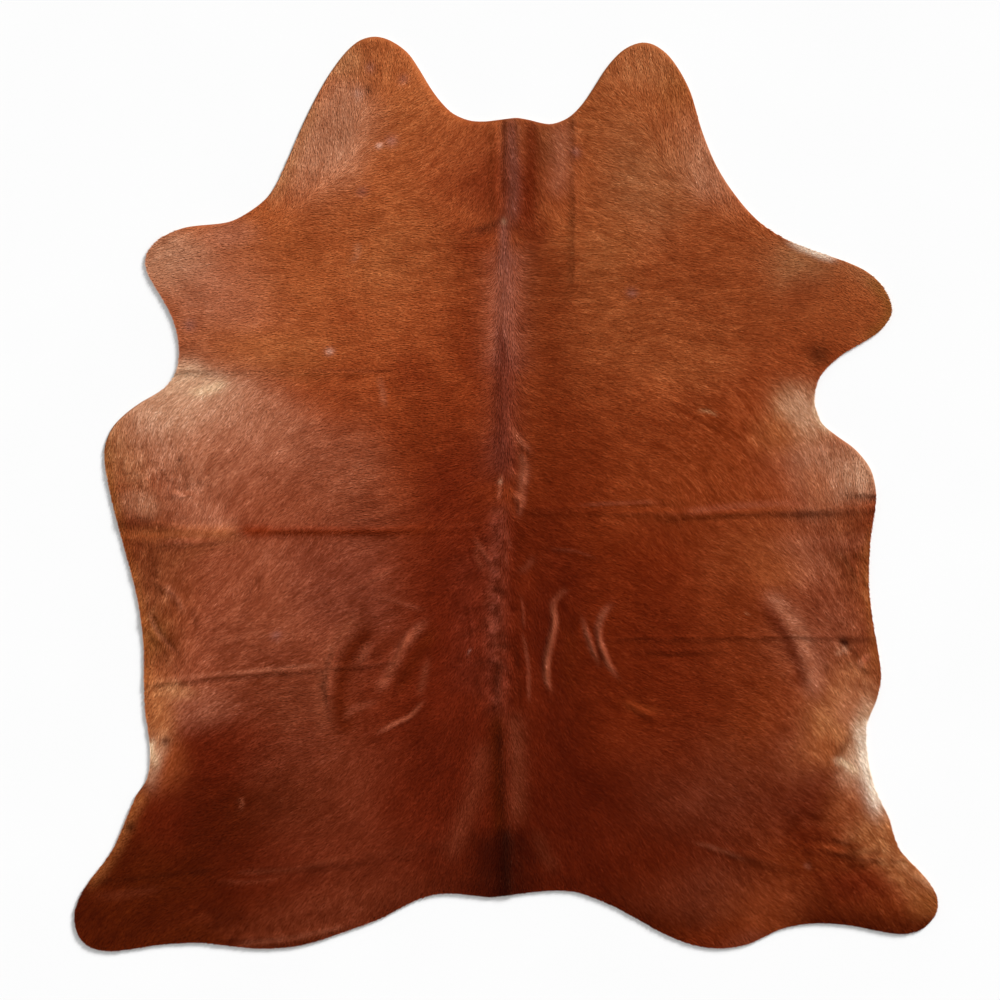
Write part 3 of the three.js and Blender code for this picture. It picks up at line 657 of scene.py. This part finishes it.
def sample(field, x, y):
    """A field's values at scattered points, by bilinear interpolation."""
    u = np.clip((x - LOW_X) / CELL, 0, COLS - 1.001)
    v = np.clip((y - LOW_Y) / CELL, 0, ROWS - 1.001)
    i, j = u.astype(int), v.astype(int)
    fu, fv = u - i, v - j
    if field.ndim == 3:
        fu, fv = fu[:, None], fv[:, None]
    low = field[j, i] * (1 - fu) + field[j, i + 1] * fu
    high = field[j + 1, i] * (1 - fu) + field[j + 1, i + 1] * fu
    return low * (1 - fv) + high * fv


def nearest_cell(x, y):
    """The row and column of the cell nearest to each point."""
    i = np.clip(((x - LOW_X) / CELL).round().astype(int), 0, COLS - 1)
    j = np.clip(((y - LOW_Y) / CELL).round().astype(int), 0, ROWS - 1)
    return j, i


def bell(t):
    """1 at the middle, falling off softly on both sides."""
    return np.exp(-0.7 * t ** 2)


def blur(field, radius):
    """A Gaussian blur; radius is its standard deviation in metres."""
    fx = np.fft.rfftfreq(COLS, CELL)
    fy = np.fft.fftfreq(ROWS, CELL)
    keep = np.exp(-2 * (math.pi * radius) ** 2 * (fx[None, :] ** 2 + fy[:, None] ** 2))
    return np.fft.irfft2(np.fft.rfft2(field) * keep, s=field.shape)


def unevenness(scale, seed):
    """Smooth random waves of about the given size, with a spread of 1."""
    field = blur(np.random.default_rng(seed).standard_normal((ROWS, COLS)), scale / 2)
    return (field - field.mean()) / field.std()


def waves(layers):
    """Random waves of several sizes added up: the size, height and seed of each."""
    return sum(height * unevenness(size, seed) for size, height, seed in layers)


# Steps of a curve between two of its points, and a length beyond any on the rug.
CURVE_STEPS = 24
FAR = 9.0


def curve(points, step, closed=False):
    """Evenly spaced points on a smooth curve through the given ones."""
    p = np.array(points, float)
    if closed:
        p = np.concatenate([p[-1:], p, p[:2]])
    else:
        p = np.concatenate([2 * p[:1] - p[1:2], p, 2 * p[-1:] - p[-2:-1]])
    t = np.linspace(0, 1, CURVE_STEPS, endpoint=False)[:, None]
    parts = []
    for a, b, c, d in zip(p[:-3], p[1:-2], p[2:-1], p[3:]):
        bend = (2 * a - 5 * b + 4 * c - d) * t ** 2 + (3 * b - a - 3 * c + d) * t ** 3
        parts.append(b + 0.5 * ((c - a) * t + bend))
    parts.append(p[-2:-1])
    line = np.concatenate(parts)
    run = np.concatenate([[0], np.cumsum(np.hypot(*np.diff(line, axis=0).T))])
    count = max(3, round(run[-1] / step))
    at = np.linspace(0, run[-1], count + 1)
    if closed:
        at = at[:-1]
    return np.stack([np.interp(at, run, line[:, 0]), np.interp(at, run, line[:, 1])], 1)


def along_line(points, reach):
    """Each cell's distance to a line, and the place along it of its nearest point, within reach."""
    line = curve(points, CELL)
    near = np.full((ROWS, COLS), FAR)
    place = np.zeros((ROWS, COLS))
    span = int(reach / CELL) + 2
    for k, (x, y) in enumerate(line):
        i, j = round((x - LOW_X) / CELL), round((y - LOW_Y) / CELL)
        i0, i1 = max(i - span, 0), min(i + span + 1, COLS)
        j0, j1 = max(j - span, 0), min(j + span + 1, ROWS)
        if i0 >= i1 or j0 >= j1:
            continue
        d = np.hypot(GRID_X[None, i0:i1] - x, GRID_Y[j0:j1, None] - y)
        part = near[j0:j1, i0:i1]
        closer = d < part
        part[closer] = d[closer]
        place[j0:j1, i0:i1][closer] = k * CELL
    return near, place, len(line) * CELL


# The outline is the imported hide's own.
def hide_outline(node):
    """The rim of the node's underside, as a closed loop of points, counterclockwise."""
    mesh = node.data
    count = len(mesh.vertices)
    co = np.zeros(count * 3)
    mesh.vertices.foreach_get("co", co)
    co = co.reshape(-1, 3)
    mesh.calc_loop_triangles()
    tris = np.zeros(len(mesh.loop_triangles) * 3, int)
    mesh.loop_triangles.foreach_get("vertices", tris)
    tris = tris.reshape(-1, 3)
    keys, weld = np.unique(np.round(co, 6), axis=0, return_inverse=True)
    tris = weld.reshape(-1)[tris]
    a, b, c = keys[tris[:, 0]], keys[tris[:, 1]], keys[tris[:, 2]]
    normal = np.cross(b - a, c - a)
    length = np.linalg.norm(normal, axis=1)
    down = -normal[:, 2] > 0.3 * np.maximum(length, 1e-12)
    edges = {}
    for tri in tris[down].tolist():
        for s, e in ((tri[0], tri[1]), (tri[1], tri[2]), (tri[2], tri[0])):
            if edges.pop((e, s), None) is None:
                edges[(s, e)] = True
    follow = {s: e for s, e in edges}
    loops = []
    while follow:
        first = next(iter(follow))
        loop, at = [], first
        while at in follow:
            loop.append(at)
            at = follow.pop(at)
        loops.append(loop)
    return keys[max(loops, key=len)][::-1, :2]


def without_flats(loop, tolerance):
    """The loop without points that lie on the straight between their neighbours."""
    kept = [loop[0]]
    for k in range(1, len(loop)):
        after = loop[(k + 1) % len(loop)]
        chord = after - kept[-1]
        off = loop[k] - kept[-1]
        away = abs(chord[0] * off[1] - chord[1] * off[0]) / max(np.hypot(*chord), 1e-9)
        if away > tolerance:
            kept.append(loop[k])
    return np.array(kept)


def inside(loop):
    """Which cells lie within the loop."""
    mask = np.zeros((ROWS, COLS), bool)
    ax, ay = loop.T
    bx, by = np.roll(loop, -1, axis=0).T
    for j, y in enumerate(GRID_Y):
        crossing = (ay > y) != (by > y)
        at = ax[crossing] + (y - ay[crossing]) / (by - ay)[crossing] * (bx - ax)[crossing]
        at.sort()
        for left, right in zip(at[::2], at[1::2]):
            mask[j, (GRID_X >= left) & (GRID_X <= right)] = True
    return mask


def depth_from_edge(loop, mask):
    """Each cell's distance to the loop, negative outside it."""
    every, batch, fineness = 4, 200, 0.002
    xs, ys = GRID_X[::every], GRID_Y[::every]
    gx, gy = np.meshgrid(xs, ys)
    rim = curve(loop, fineness, closed=True)
    near = np.full(gx.size, FAR)
    for start in range(0, len(rim), batch):
        part = rim[start:start + batch]
        dx = gx.reshape(-1, 1) - part[None, :, 0]
        dy = gy.reshape(-1, 1) - part[None, :, 1]
        near = np.minimum(near, (dx * dx + dy * dy).min(1))
    near = np.sqrt(near).reshape(gx.shape)
    near = np.where(mask[::every, ::every], near, -near)
    wide = np.array([np.interp(GRID_X, xs, row) for row in near])
    return np.array([np.interp(GRID_Y, ys, column) for column in wide.T]).T


STRAIGHT = 0.00002
rim_loop = without_flats(hide_outline(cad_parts["hide"]), STRAIGHT)
rim_loop = curve(rim_loop, RIM_STEP, closed=True)
DEPTH = depth_from_edge(rim_loop, inside(rim_loop))

# Relief of the skin. A ridge runs out at its ends over RUN_OUT, or a share of its length if short.
RUN_OUT = 0.095
RUN_OUT_SHARE = 0.42
NARROW_END = 0.45
RIPPLE_SHARE = 0.15
LOWEST_FOLD = 0.00015
CRUMPLE_RISE = 0.0028
CRUMPLE_REACH = 2.2
HIGHEST_SWELL = 0.002
FLAT_RIM = 0.03
RIPPLE = np.clip(unevenness(0.05, 6), -1.5, 1.5)


def ridge(height, half, points):
    """A ridge with a bell-shaped section that runs out at both ends."""
    near, place, length = along_line(points, half)
    run_out = min(RUN_OUT, RUN_OUT_SHARE * length)
    full = smooth(np.minimum(place, length - place) / run_out)
    width = half * (NARROW_END + (1 - NARROW_END) * full)
    section = np.cos(math.pi / 2 * np.clip(near / width, 0, 1)) ** 2
    return height * full * section * (1 - RIPPLE_SHARE + RIPPLE_SHARE * RIPPLE)


relief = np.zeros((ROWS, COLS))
for _, height, half, points in CREASES:
    relief = np.maximum(relief, ridge(*metres(height, half, points)))
creased = relief > LOWEST_FOLD
CRUMPLE = np.zeros((ROWS, COLS))
for _, half, strength, points in CRUMPLES:
    half, points = metres(half, points)
    near, *_ = along_line(points, CRUMPLE_REACH * half)
    CRUMPLE = np.maximum(CRUMPLE, strength * bell(near / half))
CRUMPLE = CRUMPLE * np.clip(waves([(0.011, 1, 7), (0.026, 0.5, 8)]), -2, 2)
relief = np.maximum(relief + CRUMPLE_RISE * CRUMPLE, 0)
swell = waves([(0.11, 0.00045, 3), (0.035, 0.0003, 4)])
relief = relief + np.clip(swell, 0, HIGHEST_SWELL) * smooth(DEPTH / FLAT_RIM)


# The lie of the hair. Along the spine a mane lies straight down the back.
NAP_SOFTNESS = 0.0009
NAP_WAVER = 0.10
MANE_NARROW = 0.012
MANE_WIDER = 0.020
MANE_TOP = 0.62
MANE_TOP_FADE = 0.06
MANE_END_FADE = 0.12


def lie_of_hair():
    """Unit vectors, as two fields."""
    out, fall = np.zeros((ROWS, COLS)), np.zeros((ROWS, COLS))
    for _, far, y, angle in NAP:
        far, y = metres(far, y)
        weight = 1 / ((np.abs(PLAN_X) - far) ** 2 + (PLAN_Y - y) ** 2 + NAP_SOFTNESS) ** 2
        out += weight * math.cos(math.radians(angle))
        fall += weight * math.sin(math.radians(angle))
    turn = np.arctan2(fall, out) + NAP_WAVER * unevenness(0.09, 5)
    side = np.where(PLAN_X > 0, 1.0, -1.0)
    x, y = side * np.cos(turn), -np.sin(turn)
    wide = smooth((MANE_TOP - PLAN_Y) / MANE_TOP_FADE) * smooth(PLAN_Y / MANE_END_FADE)
    mane_reach = MANE_NARROW + MANE_WIDER * wide
    mane = np.exp(-(PLAN_X / mane_reach) ** 2)
    x, y = x * (1 - mane), y * (1 - mane) - mane
    length = np.hypot(x, y)
    return x / length, y / length


LIE_X, LIE_Y = lie_of_hair()


def streaks(grain, steps, seed):
    """Random noise drawn out along the hair, with a spread of 1."""
    source = unevenness(grain, seed)
    total = source.copy()
    for sign in (1, -1):
        x, y = PLAN_X.copy(), PLAN_Y.copy()
        for _ in range(steps):
            here = nearest_cell(x, y)
            x = x + sign * CELL * LIE_X[here]
            y = y + sign * CELL * LIE_Y[here]
            total += source[nearest_cell(x, y)]
    return (total - total.mean()) / total.std()


FINE_STREAK = streaks(grain=0.0025, steps=5, seed=11)
LOCK_STREAK = streaks(grain=0.008, steps=10, seed=12)
MOTTLE = waves([(0.09, 0.03, 13), (0.05, 0.035, 14), (0.02, 0.045, 15)])


def grain_level():
    """How much the hairs differ from each other, against the usual."""
    level = np.ones((ROWS, COLS))
    for _, x, y, reach, here in GRAIN_LEVELS:
        x, y, reach = metres(x, y, reach)
        level *= 1 + (here - 1) * np.exp(-((PLAN_X - x) ** 2 + (PLAN_Y - y) ** 2) / reach ** 2)
    return level


# Colours. A patch has a flat middle and a wavering edge; a line fades out on both sides.
PATCH_WAVER = 0.012
PATCH_FALL = 0.8
PATCH_FLATNESS = 1.4
LINE_REACH = 2.4
# What full shade leaves of red, green and blue.
SHADE_TINT = np.array([0.42, 0.34, 0.30])
SHADE_UNEVEN = 0.28
GAIN = np.array([1.285, 1.215, 1.13])
# Lighter hairs, and the crumples' painted highlights, are also paler, so green and blue rise faster than
# red.
PALER = np.array([0.85, 1.3, 1.6])
GLOSS_TINT = (1.0, 0.38, 0.17, 1)


def linear(tone):
    """A tone's sRGB values as linear light."""
    c = np.array(TONES[tone]) / 255
    return np.where(c <= 0.04045, c / 12.92, ((c + 0.055) / 1.055) ** 2.4)


def mix(ground, tone, weight):
    """The ground turned towards a tone."""
    return ground + (linear(tone) - ground) * weight[..., None]


def soft_line(half, points, end, end_share, least):
    """A soft line, 1 along its middle, that fades over a length or a share of it at each end."""
    half, points = metres(half, points)
    near, place, length = along_line(points, LINE_REACH * half)
    ends = smooth(np.minimum(place, length - place) / min(end, end_share * length) + least)
    return ends * bell(near / half)


def ground_tone():
    """The coat's large tones."""
    ys = [-y / 1000 for y, _ in ALONG]
    tones = np.array([linear(tone) for _, tone in ALONG])
    column = np.stack([np.interp(-GRID_Y, ys, tones[:, k]) for k in range(3)], 1)
    coat = np.repeat(column[:, None, :], COLS, axis=1)
    waver_x = PATCH_WAVER * unevenness(0.09, 21)
    waver_y = PATCH_WAVER * unevenness(0.09, 22)
    for _, tone, x, y, wide, long, turn, strength in PATCHES:
        x, y, wide, long = metres(x, y, wide, long)
        c, s = math.cos(math.radians(turn)), math.sin(math.radians(turn))
        dx, dy = PLAN_X + waver_x - x, PLAN_Y + waver_y - y
        u, v = (dx * c + dy * s) / wide, (dy * c - dx * s) / long
        fade = np.exp(-PATCH_FALL * (u * u + v * v) ** PATCH_FLATNESS)
        coat = mix(coat, tone, strength * fade)
    for _, tone, half, strength, points in BANDS:
        line = soft_line(half, points, end=0.06, end_share=0.35, least=0.1)
        coat = mix(coat, tone, strength * line)
    return coat


def shade():
    """How far each place is darkened: painted shade in folds, partings and nicks, and a few dark spots."""
    dark = np.zeros((ROWS, COLS))
    for _, half, strength, points in SHADES:
        line = soft_line(half, points, end=0.05, end_share=0.3, least=0.15)
        dark = np.maximum(dark, strength * line)
    return dark * (1 - SHADE_UNEVEN + SHADE_UNEVEN * np.clip(unevenness(0.03, 23), -1, 1))


def mix_marks(coat):
    """The coat with the small marks on it."""
    for _, tone, x, y, radius, strength in MARKS:
        x, y, radius = metres(x, y, radius)
        far = np.hypot(PLAN_X - x, PLAN_Y - y) / radius
        coat = mix(coat, tone, strength * bell(far))
    return coat


def finished_tone():
    """The coat with its small marks, with painted shade in the folds and painted light and shade on the
    crumples.
    """
    coat = mix_marks(ground_tone())
    shaded = coat * (1 - shade()[..., None] * (1 - SHADE_TINT))
    # CRUMPLE paints the crumples' ridges lighter and their hollows darker: painted light and shade. MOTTLE
    # is the coat's own random tone.
    return shaded * np.exp((CRUMPLE + MOTTLE)[..., None] * PALER) * GAIN


COAT_TONE = finished_tone()
CHANGE_BLUR = 0.003
LOW_CHANGE = 0.03
CHANGE_RANGE = 0.09


def crispness():
    """Where the tone changes quickly, 0 to 1: the hair is shorter there, so that lines stay crisp."""
    light = COAT_TONE.sum(2)
    change = blur(np.hypot(*np.gradient(light)) / light, CHANGE_BLUR)
    return smooth((change - LOW_CHANGE) / CHANGE_RANGE)


# Materials.
def node_material(name):
    """A new material, its nodes and its shader."""
    material = bpy.data.materials.new(name)
    material.use_nodes = True
    nodes = material.node_tree.nodes
    return material, nodes, material.node_tree.links, nodes["Principled BSDF"]


def noise_node(nodes, links, scale, detail=2.0):
    """Noise fixed to the rug; scale is how many waves it has in a metre."""
    place = nodes.new("ShaderNodeTexCoord")
    noise = nodes.new("ShaderNodeTexNoise")
    noise.inputs["Scale"].default_value = scale
    noise.inputs["Detail"].default_value = detail
    links.new(place.outputs["Object"], noise.inputs["Vector"])
    return noise.outputs["Fac"]


def ramp_node(nodes, links, factor, low, high):
    """A factor turned into a range of values."""
    ramp = nodes.new("ShaderNodeMapRange")
    ramp.inputs["From Min"].default_value = 0.3
    ramp.inputs["From Max"].default_value = 0.7
    ramp.inputs["To Min"].default_value = low
    ramp.inputs["To Max"].default_value = high
    links.new(factor, ramp.inputs["Value"])
    return ramp.outputs["Result"]


def coat_material(name, roughness, specular):
    """Hair: its colour is in the mesh, with fine flecks over it."""
    material, nodes, links, shader = node_material(name)
    shader.inputs["Specular IOR Level"].default_value = specular
    shader.inputs["Specular Tint"].default_value = GLOSS_TINT
    colour = nodes.new("ShaderNodeVertexColor")
    colour.layer_name = "coat"
    flecks = noise_node(nodes, links, scale=700)
    fleck = ramp_node(nodes, links, flecks, low=0.86, high=1.14)
    flecked = nodes.new("ShaderNodeVectorMath")
    flecked.operation = "SCALE"
    links.new(colour.outputs["Color"], flecked.inputs[0])
    links.new(fleck, flecked.inputs["Scale"])
    links.new(flecked.outputs["Vector"], shader.inputs["Base Color"])
    gloss = noise_node(nodes, links, scale=40)
    rough = ramp_node(nodes, links, gloss, low=roughness - 0.06, high=roughness + 0.06)
    links.new(rough, shader.inputs["Roughness"])
    return material


def suede_material():
    """The flesh side: pale, matt and slightly fibrous."""
    material, nodes, links, shader = node_material("suede")
    shader.inputs["Specular IOR Level"].default_value = 0.15
    cloud = nodes.new("ShaderNodeMix")
    cloud.data_type = "RGBA"
    cloud.inputs[6].default_value = (0.50, 0.40, 0.29, 1)
    cloud.inputs[7].default_value = (0.66, 0.56, 0.43, 1)
    links.new(noise_node(nodes, links, scale=9, detail=6), cloud.inputs[0])
    links.new(cloud.outputs[2], shader.inputs["Base Color"])
    rough = ramp_node(nodes, links, noise_node(nodes, links, scale=60), low=0.8, high=0.95)
    links.new(rough, shader.inputs["Roughness"])
    bump = nodes.new("ShaderNodeBump")
    bump.inputs["Strength"].default_value = 0.4
    bump.inputs["Distance"].default_value = 0.0006
    links.new(noise_node(nodes, links, scale=900, detail=4), bump.inputs["Height"])
    links.new(bump.outputs["Normal"], shader.inputs["Normal"])
    return material


COAT_MATERIAL = coat_material("coat", roughness=0.52, specular=0.12)
SKIN_MATERIAL = coat_material("skin under the coat", roughness=0.6, specular=0.1)
SUEDE_MATERIAL = suede_material()


# The skin. The first three are shares of the step between its points.
ROW_SPACING = 0.87
JITTER = 0.2
EDGE_CLEARANCE = 0.55
FOLD_BLUR = 0.004
NEAR_FOLD = 0.12
# The share of the coat's tone left on the skin beneath it: painted shade under the hair.
PAINTED_SHADE_UNDER_HAIR = 0.7


def scattered(step, where, seed):
    """Points about step apart in the cells where the field is true, clear of the edge."""
    rng = np.random.default_rng(seed)
    xs = np.arange(LOW_X, LOW_X + CELL * COLS, step)
    ys = np.arange(LOW_Y, LOW_Y + CELL * ROWS, step * ROW_SPACING)
    x, y = np.meshgrid(xs, ys)
    x = x + (np.arange(len(ys)) % 2)[:, None] * step / 2
    x = (x + rng.uniform(-JITTER, JITTER, x.shape) * step).reshape(-1)
    y = (y + rng.uniform(-JITTER, JITTER, y.shape) * step).reshape(-1)
    kept = (sample(where.astype(float), x, y) > 0.5) & (sample(DEPTH, x, y) > EDGE_CLEARANCE * step)
    return np.stack([x[kept], y[kept]], 1)


def triangulated(loop, points):
    """Triangles that fill the loop, using the points."""
    corners = np.concatenate([loop, points])
    verts, _, faces, *_ = delaunay_2d_cdt(
        [tuple(p) for p in corners.tolist()], [], [list(range(len(loop)))], 1, 1e-7)
    return np.array([tuple(v) for v in verts]), np.array(faces)


def make_mesh(name, co, tris):
    """A mesh object from arrays."""
    mesh = bpy.data.meshes.new(name)
    mesh.vertices.add(len(co))
    mesh.vertices.foreach_set("co", np.asarray(co, np.float32).reshape(-1))
    mesh.loops.add(len(tris) * 3)
    mesh.loops.foreach_set("vertex_index", np.asarray(tris, np.int32).reshape(-1))
    mesh.polygons.add(len(tris))
    mesh.polygons.foreach_set("loop_start", np.arange(0, len(tris) * 3, 3, dtype=np.int32))
    mesh.update(calc_edges=True)
    piece = bpy.data.objects.new(name, mesh)
    bpy.context.scene.collection.objects.link(piece)
    return piece


def paint(piece, colour):
    """The colour of each vertex, as linear light."""
    layer = piece.data.color_attributes.new("coat", "FLOAT_COLOR", "POINT")
    full = np.ones((len(colour), 4), np.float32)
    full[:, :3] = colour
    layer.data.foreach_set("color", full.reshape(-1))


def make_skin():
    """The whole hide as one closed sheet."""
    near_fold = blur(creased.astype(float), FOLD_BLUR) > NEAR_FOLD
    top_points = np.concatenate([
        scattered(FINE_STEP, near_fold, 31), scattered(OPEN_STEP, ~near_fold, 32)])
    top, top_tris = triangulated(rim_loop, top_points)
    under, under_tris = triangulated(rim_loop, np.concatenate([
        scattered(2 * FINE_STEP, near_fold, 33), scattered(UNDER_STEP, ~near_fold, 34)]))
    top_z = sample(relief, *top.T) + SKIN
    under_z = sample(relief, *under.T)
    n, count = len(rim_loop), len(top)
    co = np.concatenate([np.column_stack([top, top_z]), np.column_stack([under, under_z])])
    k = np.arange(n)
    after = (k + 1) % n
    side = np.concatenate([
        np.stack([k, k + count, after + count], 1), np.stack([k, after + count, after], 1)])
    tris = np.concatenate([top_tris, under_tris[:, ::-1] + count, side])
    skin = make_mesh("hide_skin", co, tris)
    skin.data.polygons.foreach_set("use_smooth", np.ones(len(tris), bool))
    slots = np.zeros(len(tris), np.int32)
    slots[len(top_tris):] = 1
    skin.data.materials.append(SKIN_MATERIAL)
    skin.data.materials.append(SUEDE_MATERIAL)
    skin.data.polygons.foreach_set("material_index", slots)
    # The skin is painted in the coat's tone, darkened as painted shade under the hair.
    paint(skin, sample(COAT_TONE, co[:, 0], co[:, 1]) * PAINTED_SHADE_UNDER_HAIR)
    return skin


# The coat: how much its locks differ in direction, length, height and tone.
ROOT_MARGIN = 0.0006
TURN_SPREAD = 0.11
SHORTER_ON_LINES = 0.35
SHORTEST = 0.15
LIFT_SPREAD = (0.82, 1.08)
LIFT_OF_STREAKS = 0.06
ROLL_SPREAD = 0.00012
BEND_SPREAD = 0.0006
FINE_CONTRAST = 0.09
LOCK_CONTRAST = 0.055
HAIR_CONTRAST = 0.115
PALE_SHARE = 0.06
PALE_RISE = 0.3


def roots():
    """Where the locks of hair stand."""
    rng = np.random.default_rng(41)
    xs = np.arange(LOW_X, LOW_X + CELL * COLS, HAIR_SPACING)
    ys = np.arange(LOW_Y, LOW_Y + CELL * ROWS, HAIR_SPACING)
    x, y = np.meshgrid(xs, ys)
    x = (x + rng.uniform(-0.5, 0.5, x.shape) * HAIR_SPACING).reshape(-1)
    y = (y + rng.uniform(-0.5, 0.5, y.shape) * HAIR_SPACING).reshape(-1)
    kept = sample(DEPTH, x, y) > ROOT_MARGIN
    return x[kept], y[kept]


# A lock's corners: name, shares of its length, width and lift, lightness.
LOCK_CORNERS = [
    ("root", 0, 0, 0, 0.80),
    ("left", 0.38, 0.5, 0.38, 0.96),
    ("tip", 1, 0, 1, 1.10),
    ("right", 0.38, -0.5, 0.38, 0.96),
]


def make_coat():
    """Every lock of hair: a slim roof with its root in the skin and its tip free."""
    rng = np.random.default_rng(42)
    x, y = roots()
    n = len(x)
    lie_x, lie_y = sample(LIE_X, x, y), sample(LIE_Y, x, y)
    turn = np.arctan2(lie_y, lie_x) + rng.normal(0, TURN_SPREAD, n)
    lie_x, lie_y = np.cos(turn), np.sin(turn)
    length = rng.uniform(*HAIR_LENGTH, n) * (1 - SHORTER_ON_LINES * sample(crispness(), x, y))
    width = rng.uniform(*HAIR_WIDTH, n)
    tip_depth = sample(DEPTH, x + lie_x * length, y + lie_y * length)
    root_depth = sample(DEPTH, x, y)
    over = rng.uniform(0.3, 1, n) * OVERHANG
    too_far = tip_depth < -over
    share = (root_depth + over) / np.maximum(root_depth - tip_depth, 1e-6)
    length = np.where(too_far, length * np.clip(share, SHORTEST, 1), length)
    fine, lock = sample(FINE_STREAK, x, y), sample(LOCK_STREAK, x, y)
    lift = COAT * rng.uniform(*LIFT_SPREAD, n) * (1 + LIFT_OF_STREAKS * lock)
    roll = rng.normal(0, ROLL_SPREAD, n)
    bend = rng.normal(0, BEND_SPREAD, n)
    drop = {"root": ROOT_SINK, "tip": 0, "left": ROOF_DROP + roll, "right": ROOF_DROP - roll}
    places = []
    for corner, share, side, height, _ in LOCK_CORNERS:
        aside = side * width + (bend if corner == "tip" else 0)
        px = x + lie_x * length * share - lie_y * aside
        py = y + lie_y * length * share + lie_x * aside
        pz = sample(relief, px, py) + SKIN + lift * height - drop[corner]
        places.append(np.stack([px, py, pz], 1))
    co = np.stack(places, 1)
    unlike = FINE_CONTRAST * fine + LOCK_CONTRAST * lock + rng.normal(0, HAIR_CONTRAST, n)
    unlike = unlike * sample(grain_level(), x, y)
    unlike = unlike + np.where(rng.random(n) < PALE_SHARE, PALE_RISE, 0)
    vary = np.exp(unlike[:, None] * PALER)
    colours = []
    for k, (*_, light) in enumerate(LOCK_CORNERS):
        tone = sample(COAT_TONE, co[:, k, 0], co[:, k, 1])
        colours.append(tone * vary * light)
    return co, np.stack(colours, 1), y


# The coat's pieces from the neck down: name, y of its lower end.
PARTS = [
    ("coat_neck", 0.42),
    ("coat_shoulders", 0.05),
    ("coat_back", -0.32),
    ("coat_loin", -0.68),
    ("coat_rump", -1.20),
]

skin = make_skin()
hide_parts("hide")
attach(skin, "root")
co, colours, root_y = make_coat()
upper = FAR
for name, lower in PARTS:
    chosen = (root_y <= upper) & (root_y > lower)
    upper = lower
    part, part_colours = co[chosen], colours[chosen]
    first = np.arange(len(part))[:, None] * 4
    tris = np.concatenate([first + [0, 2, 1], first + [0, 3, 2]], 1).reshape(-1, 3)
    piece = make_mesh(name, part.reshape(-1, 3), tris)
    paint(piece, part_colours.reshape(-1, 3))
    piece.data.materials.append(COAT_MATERIAL)
    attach(piece, "root")


# Floor and light.
FLOOR_SIZE = 14
FLOOR_DROP = 0.0004
floor_co = np.array([(-1, -1, 0), (1, -1, 0), (1, 1, 0), (-1, 1, 0)]) * FLOOR_SIZE / 2
floor = make_mesh("floor", floor_co - np.array([0, 0, FLOOR_DROP]), [(0, 1, 2), (0, 2, 3)])
floor_material, nodes, links, shader = node_material("floor")
shader.inputs["Specular IOR Level"].default_value = 0.1
shader.inputs["Roughness"].default_value = 0.9
floor_tone = nodes.new("ShaderNodeMix")
floor_tone.data_type = "RGBA"
floor_tone.inputs[6].default_value = (0.89, 0.89, 0.89, 1)
floor_tone.inputs[7].default_value = (0.91, 0.91, 0.91, 1)
links.new(noise_node(nodes, links, scale=3), floor_tone.inputs[0])
links.new(floor_tone.outputs[2], shader.inputs["Base Color"])
floor.data.materials.append(floor_material)

KEY_ELEVATION = math.radians(23)
KEY_AZIMUTH = math.radians(48)
KEY_STRENGTH = 4.75
KEY_SOFTNESS = math.radians(16)
FILL_STRENGTH = 0.5

key_data = bpy.data.lights.new("key", "SUN")
key_data.energy = KEY_STRENGTH
key_data.angle = KEY_SOFTNESS
key = bpy.data.objects.new("key", key_data)
key.rotation_euler = (0, math.pi / 2 - KEY_ELEVATION, KEY_AZIMUTH)
bpy.context.scene.collection.objects.link(key)

world = bpy.data.worlds.new("studio")
world.use_nodes = True
world.node_tree.nodes["Background"].inputs["Color"].default_value = (1, 1, 1, 1)
world.node_tree.nodes["Background"].inputs["Strength"].default_value = FILL_STRENGTH
bpy.context.scene.world = world
bpy.context.scene.view_settings.view_transform = "Standard"
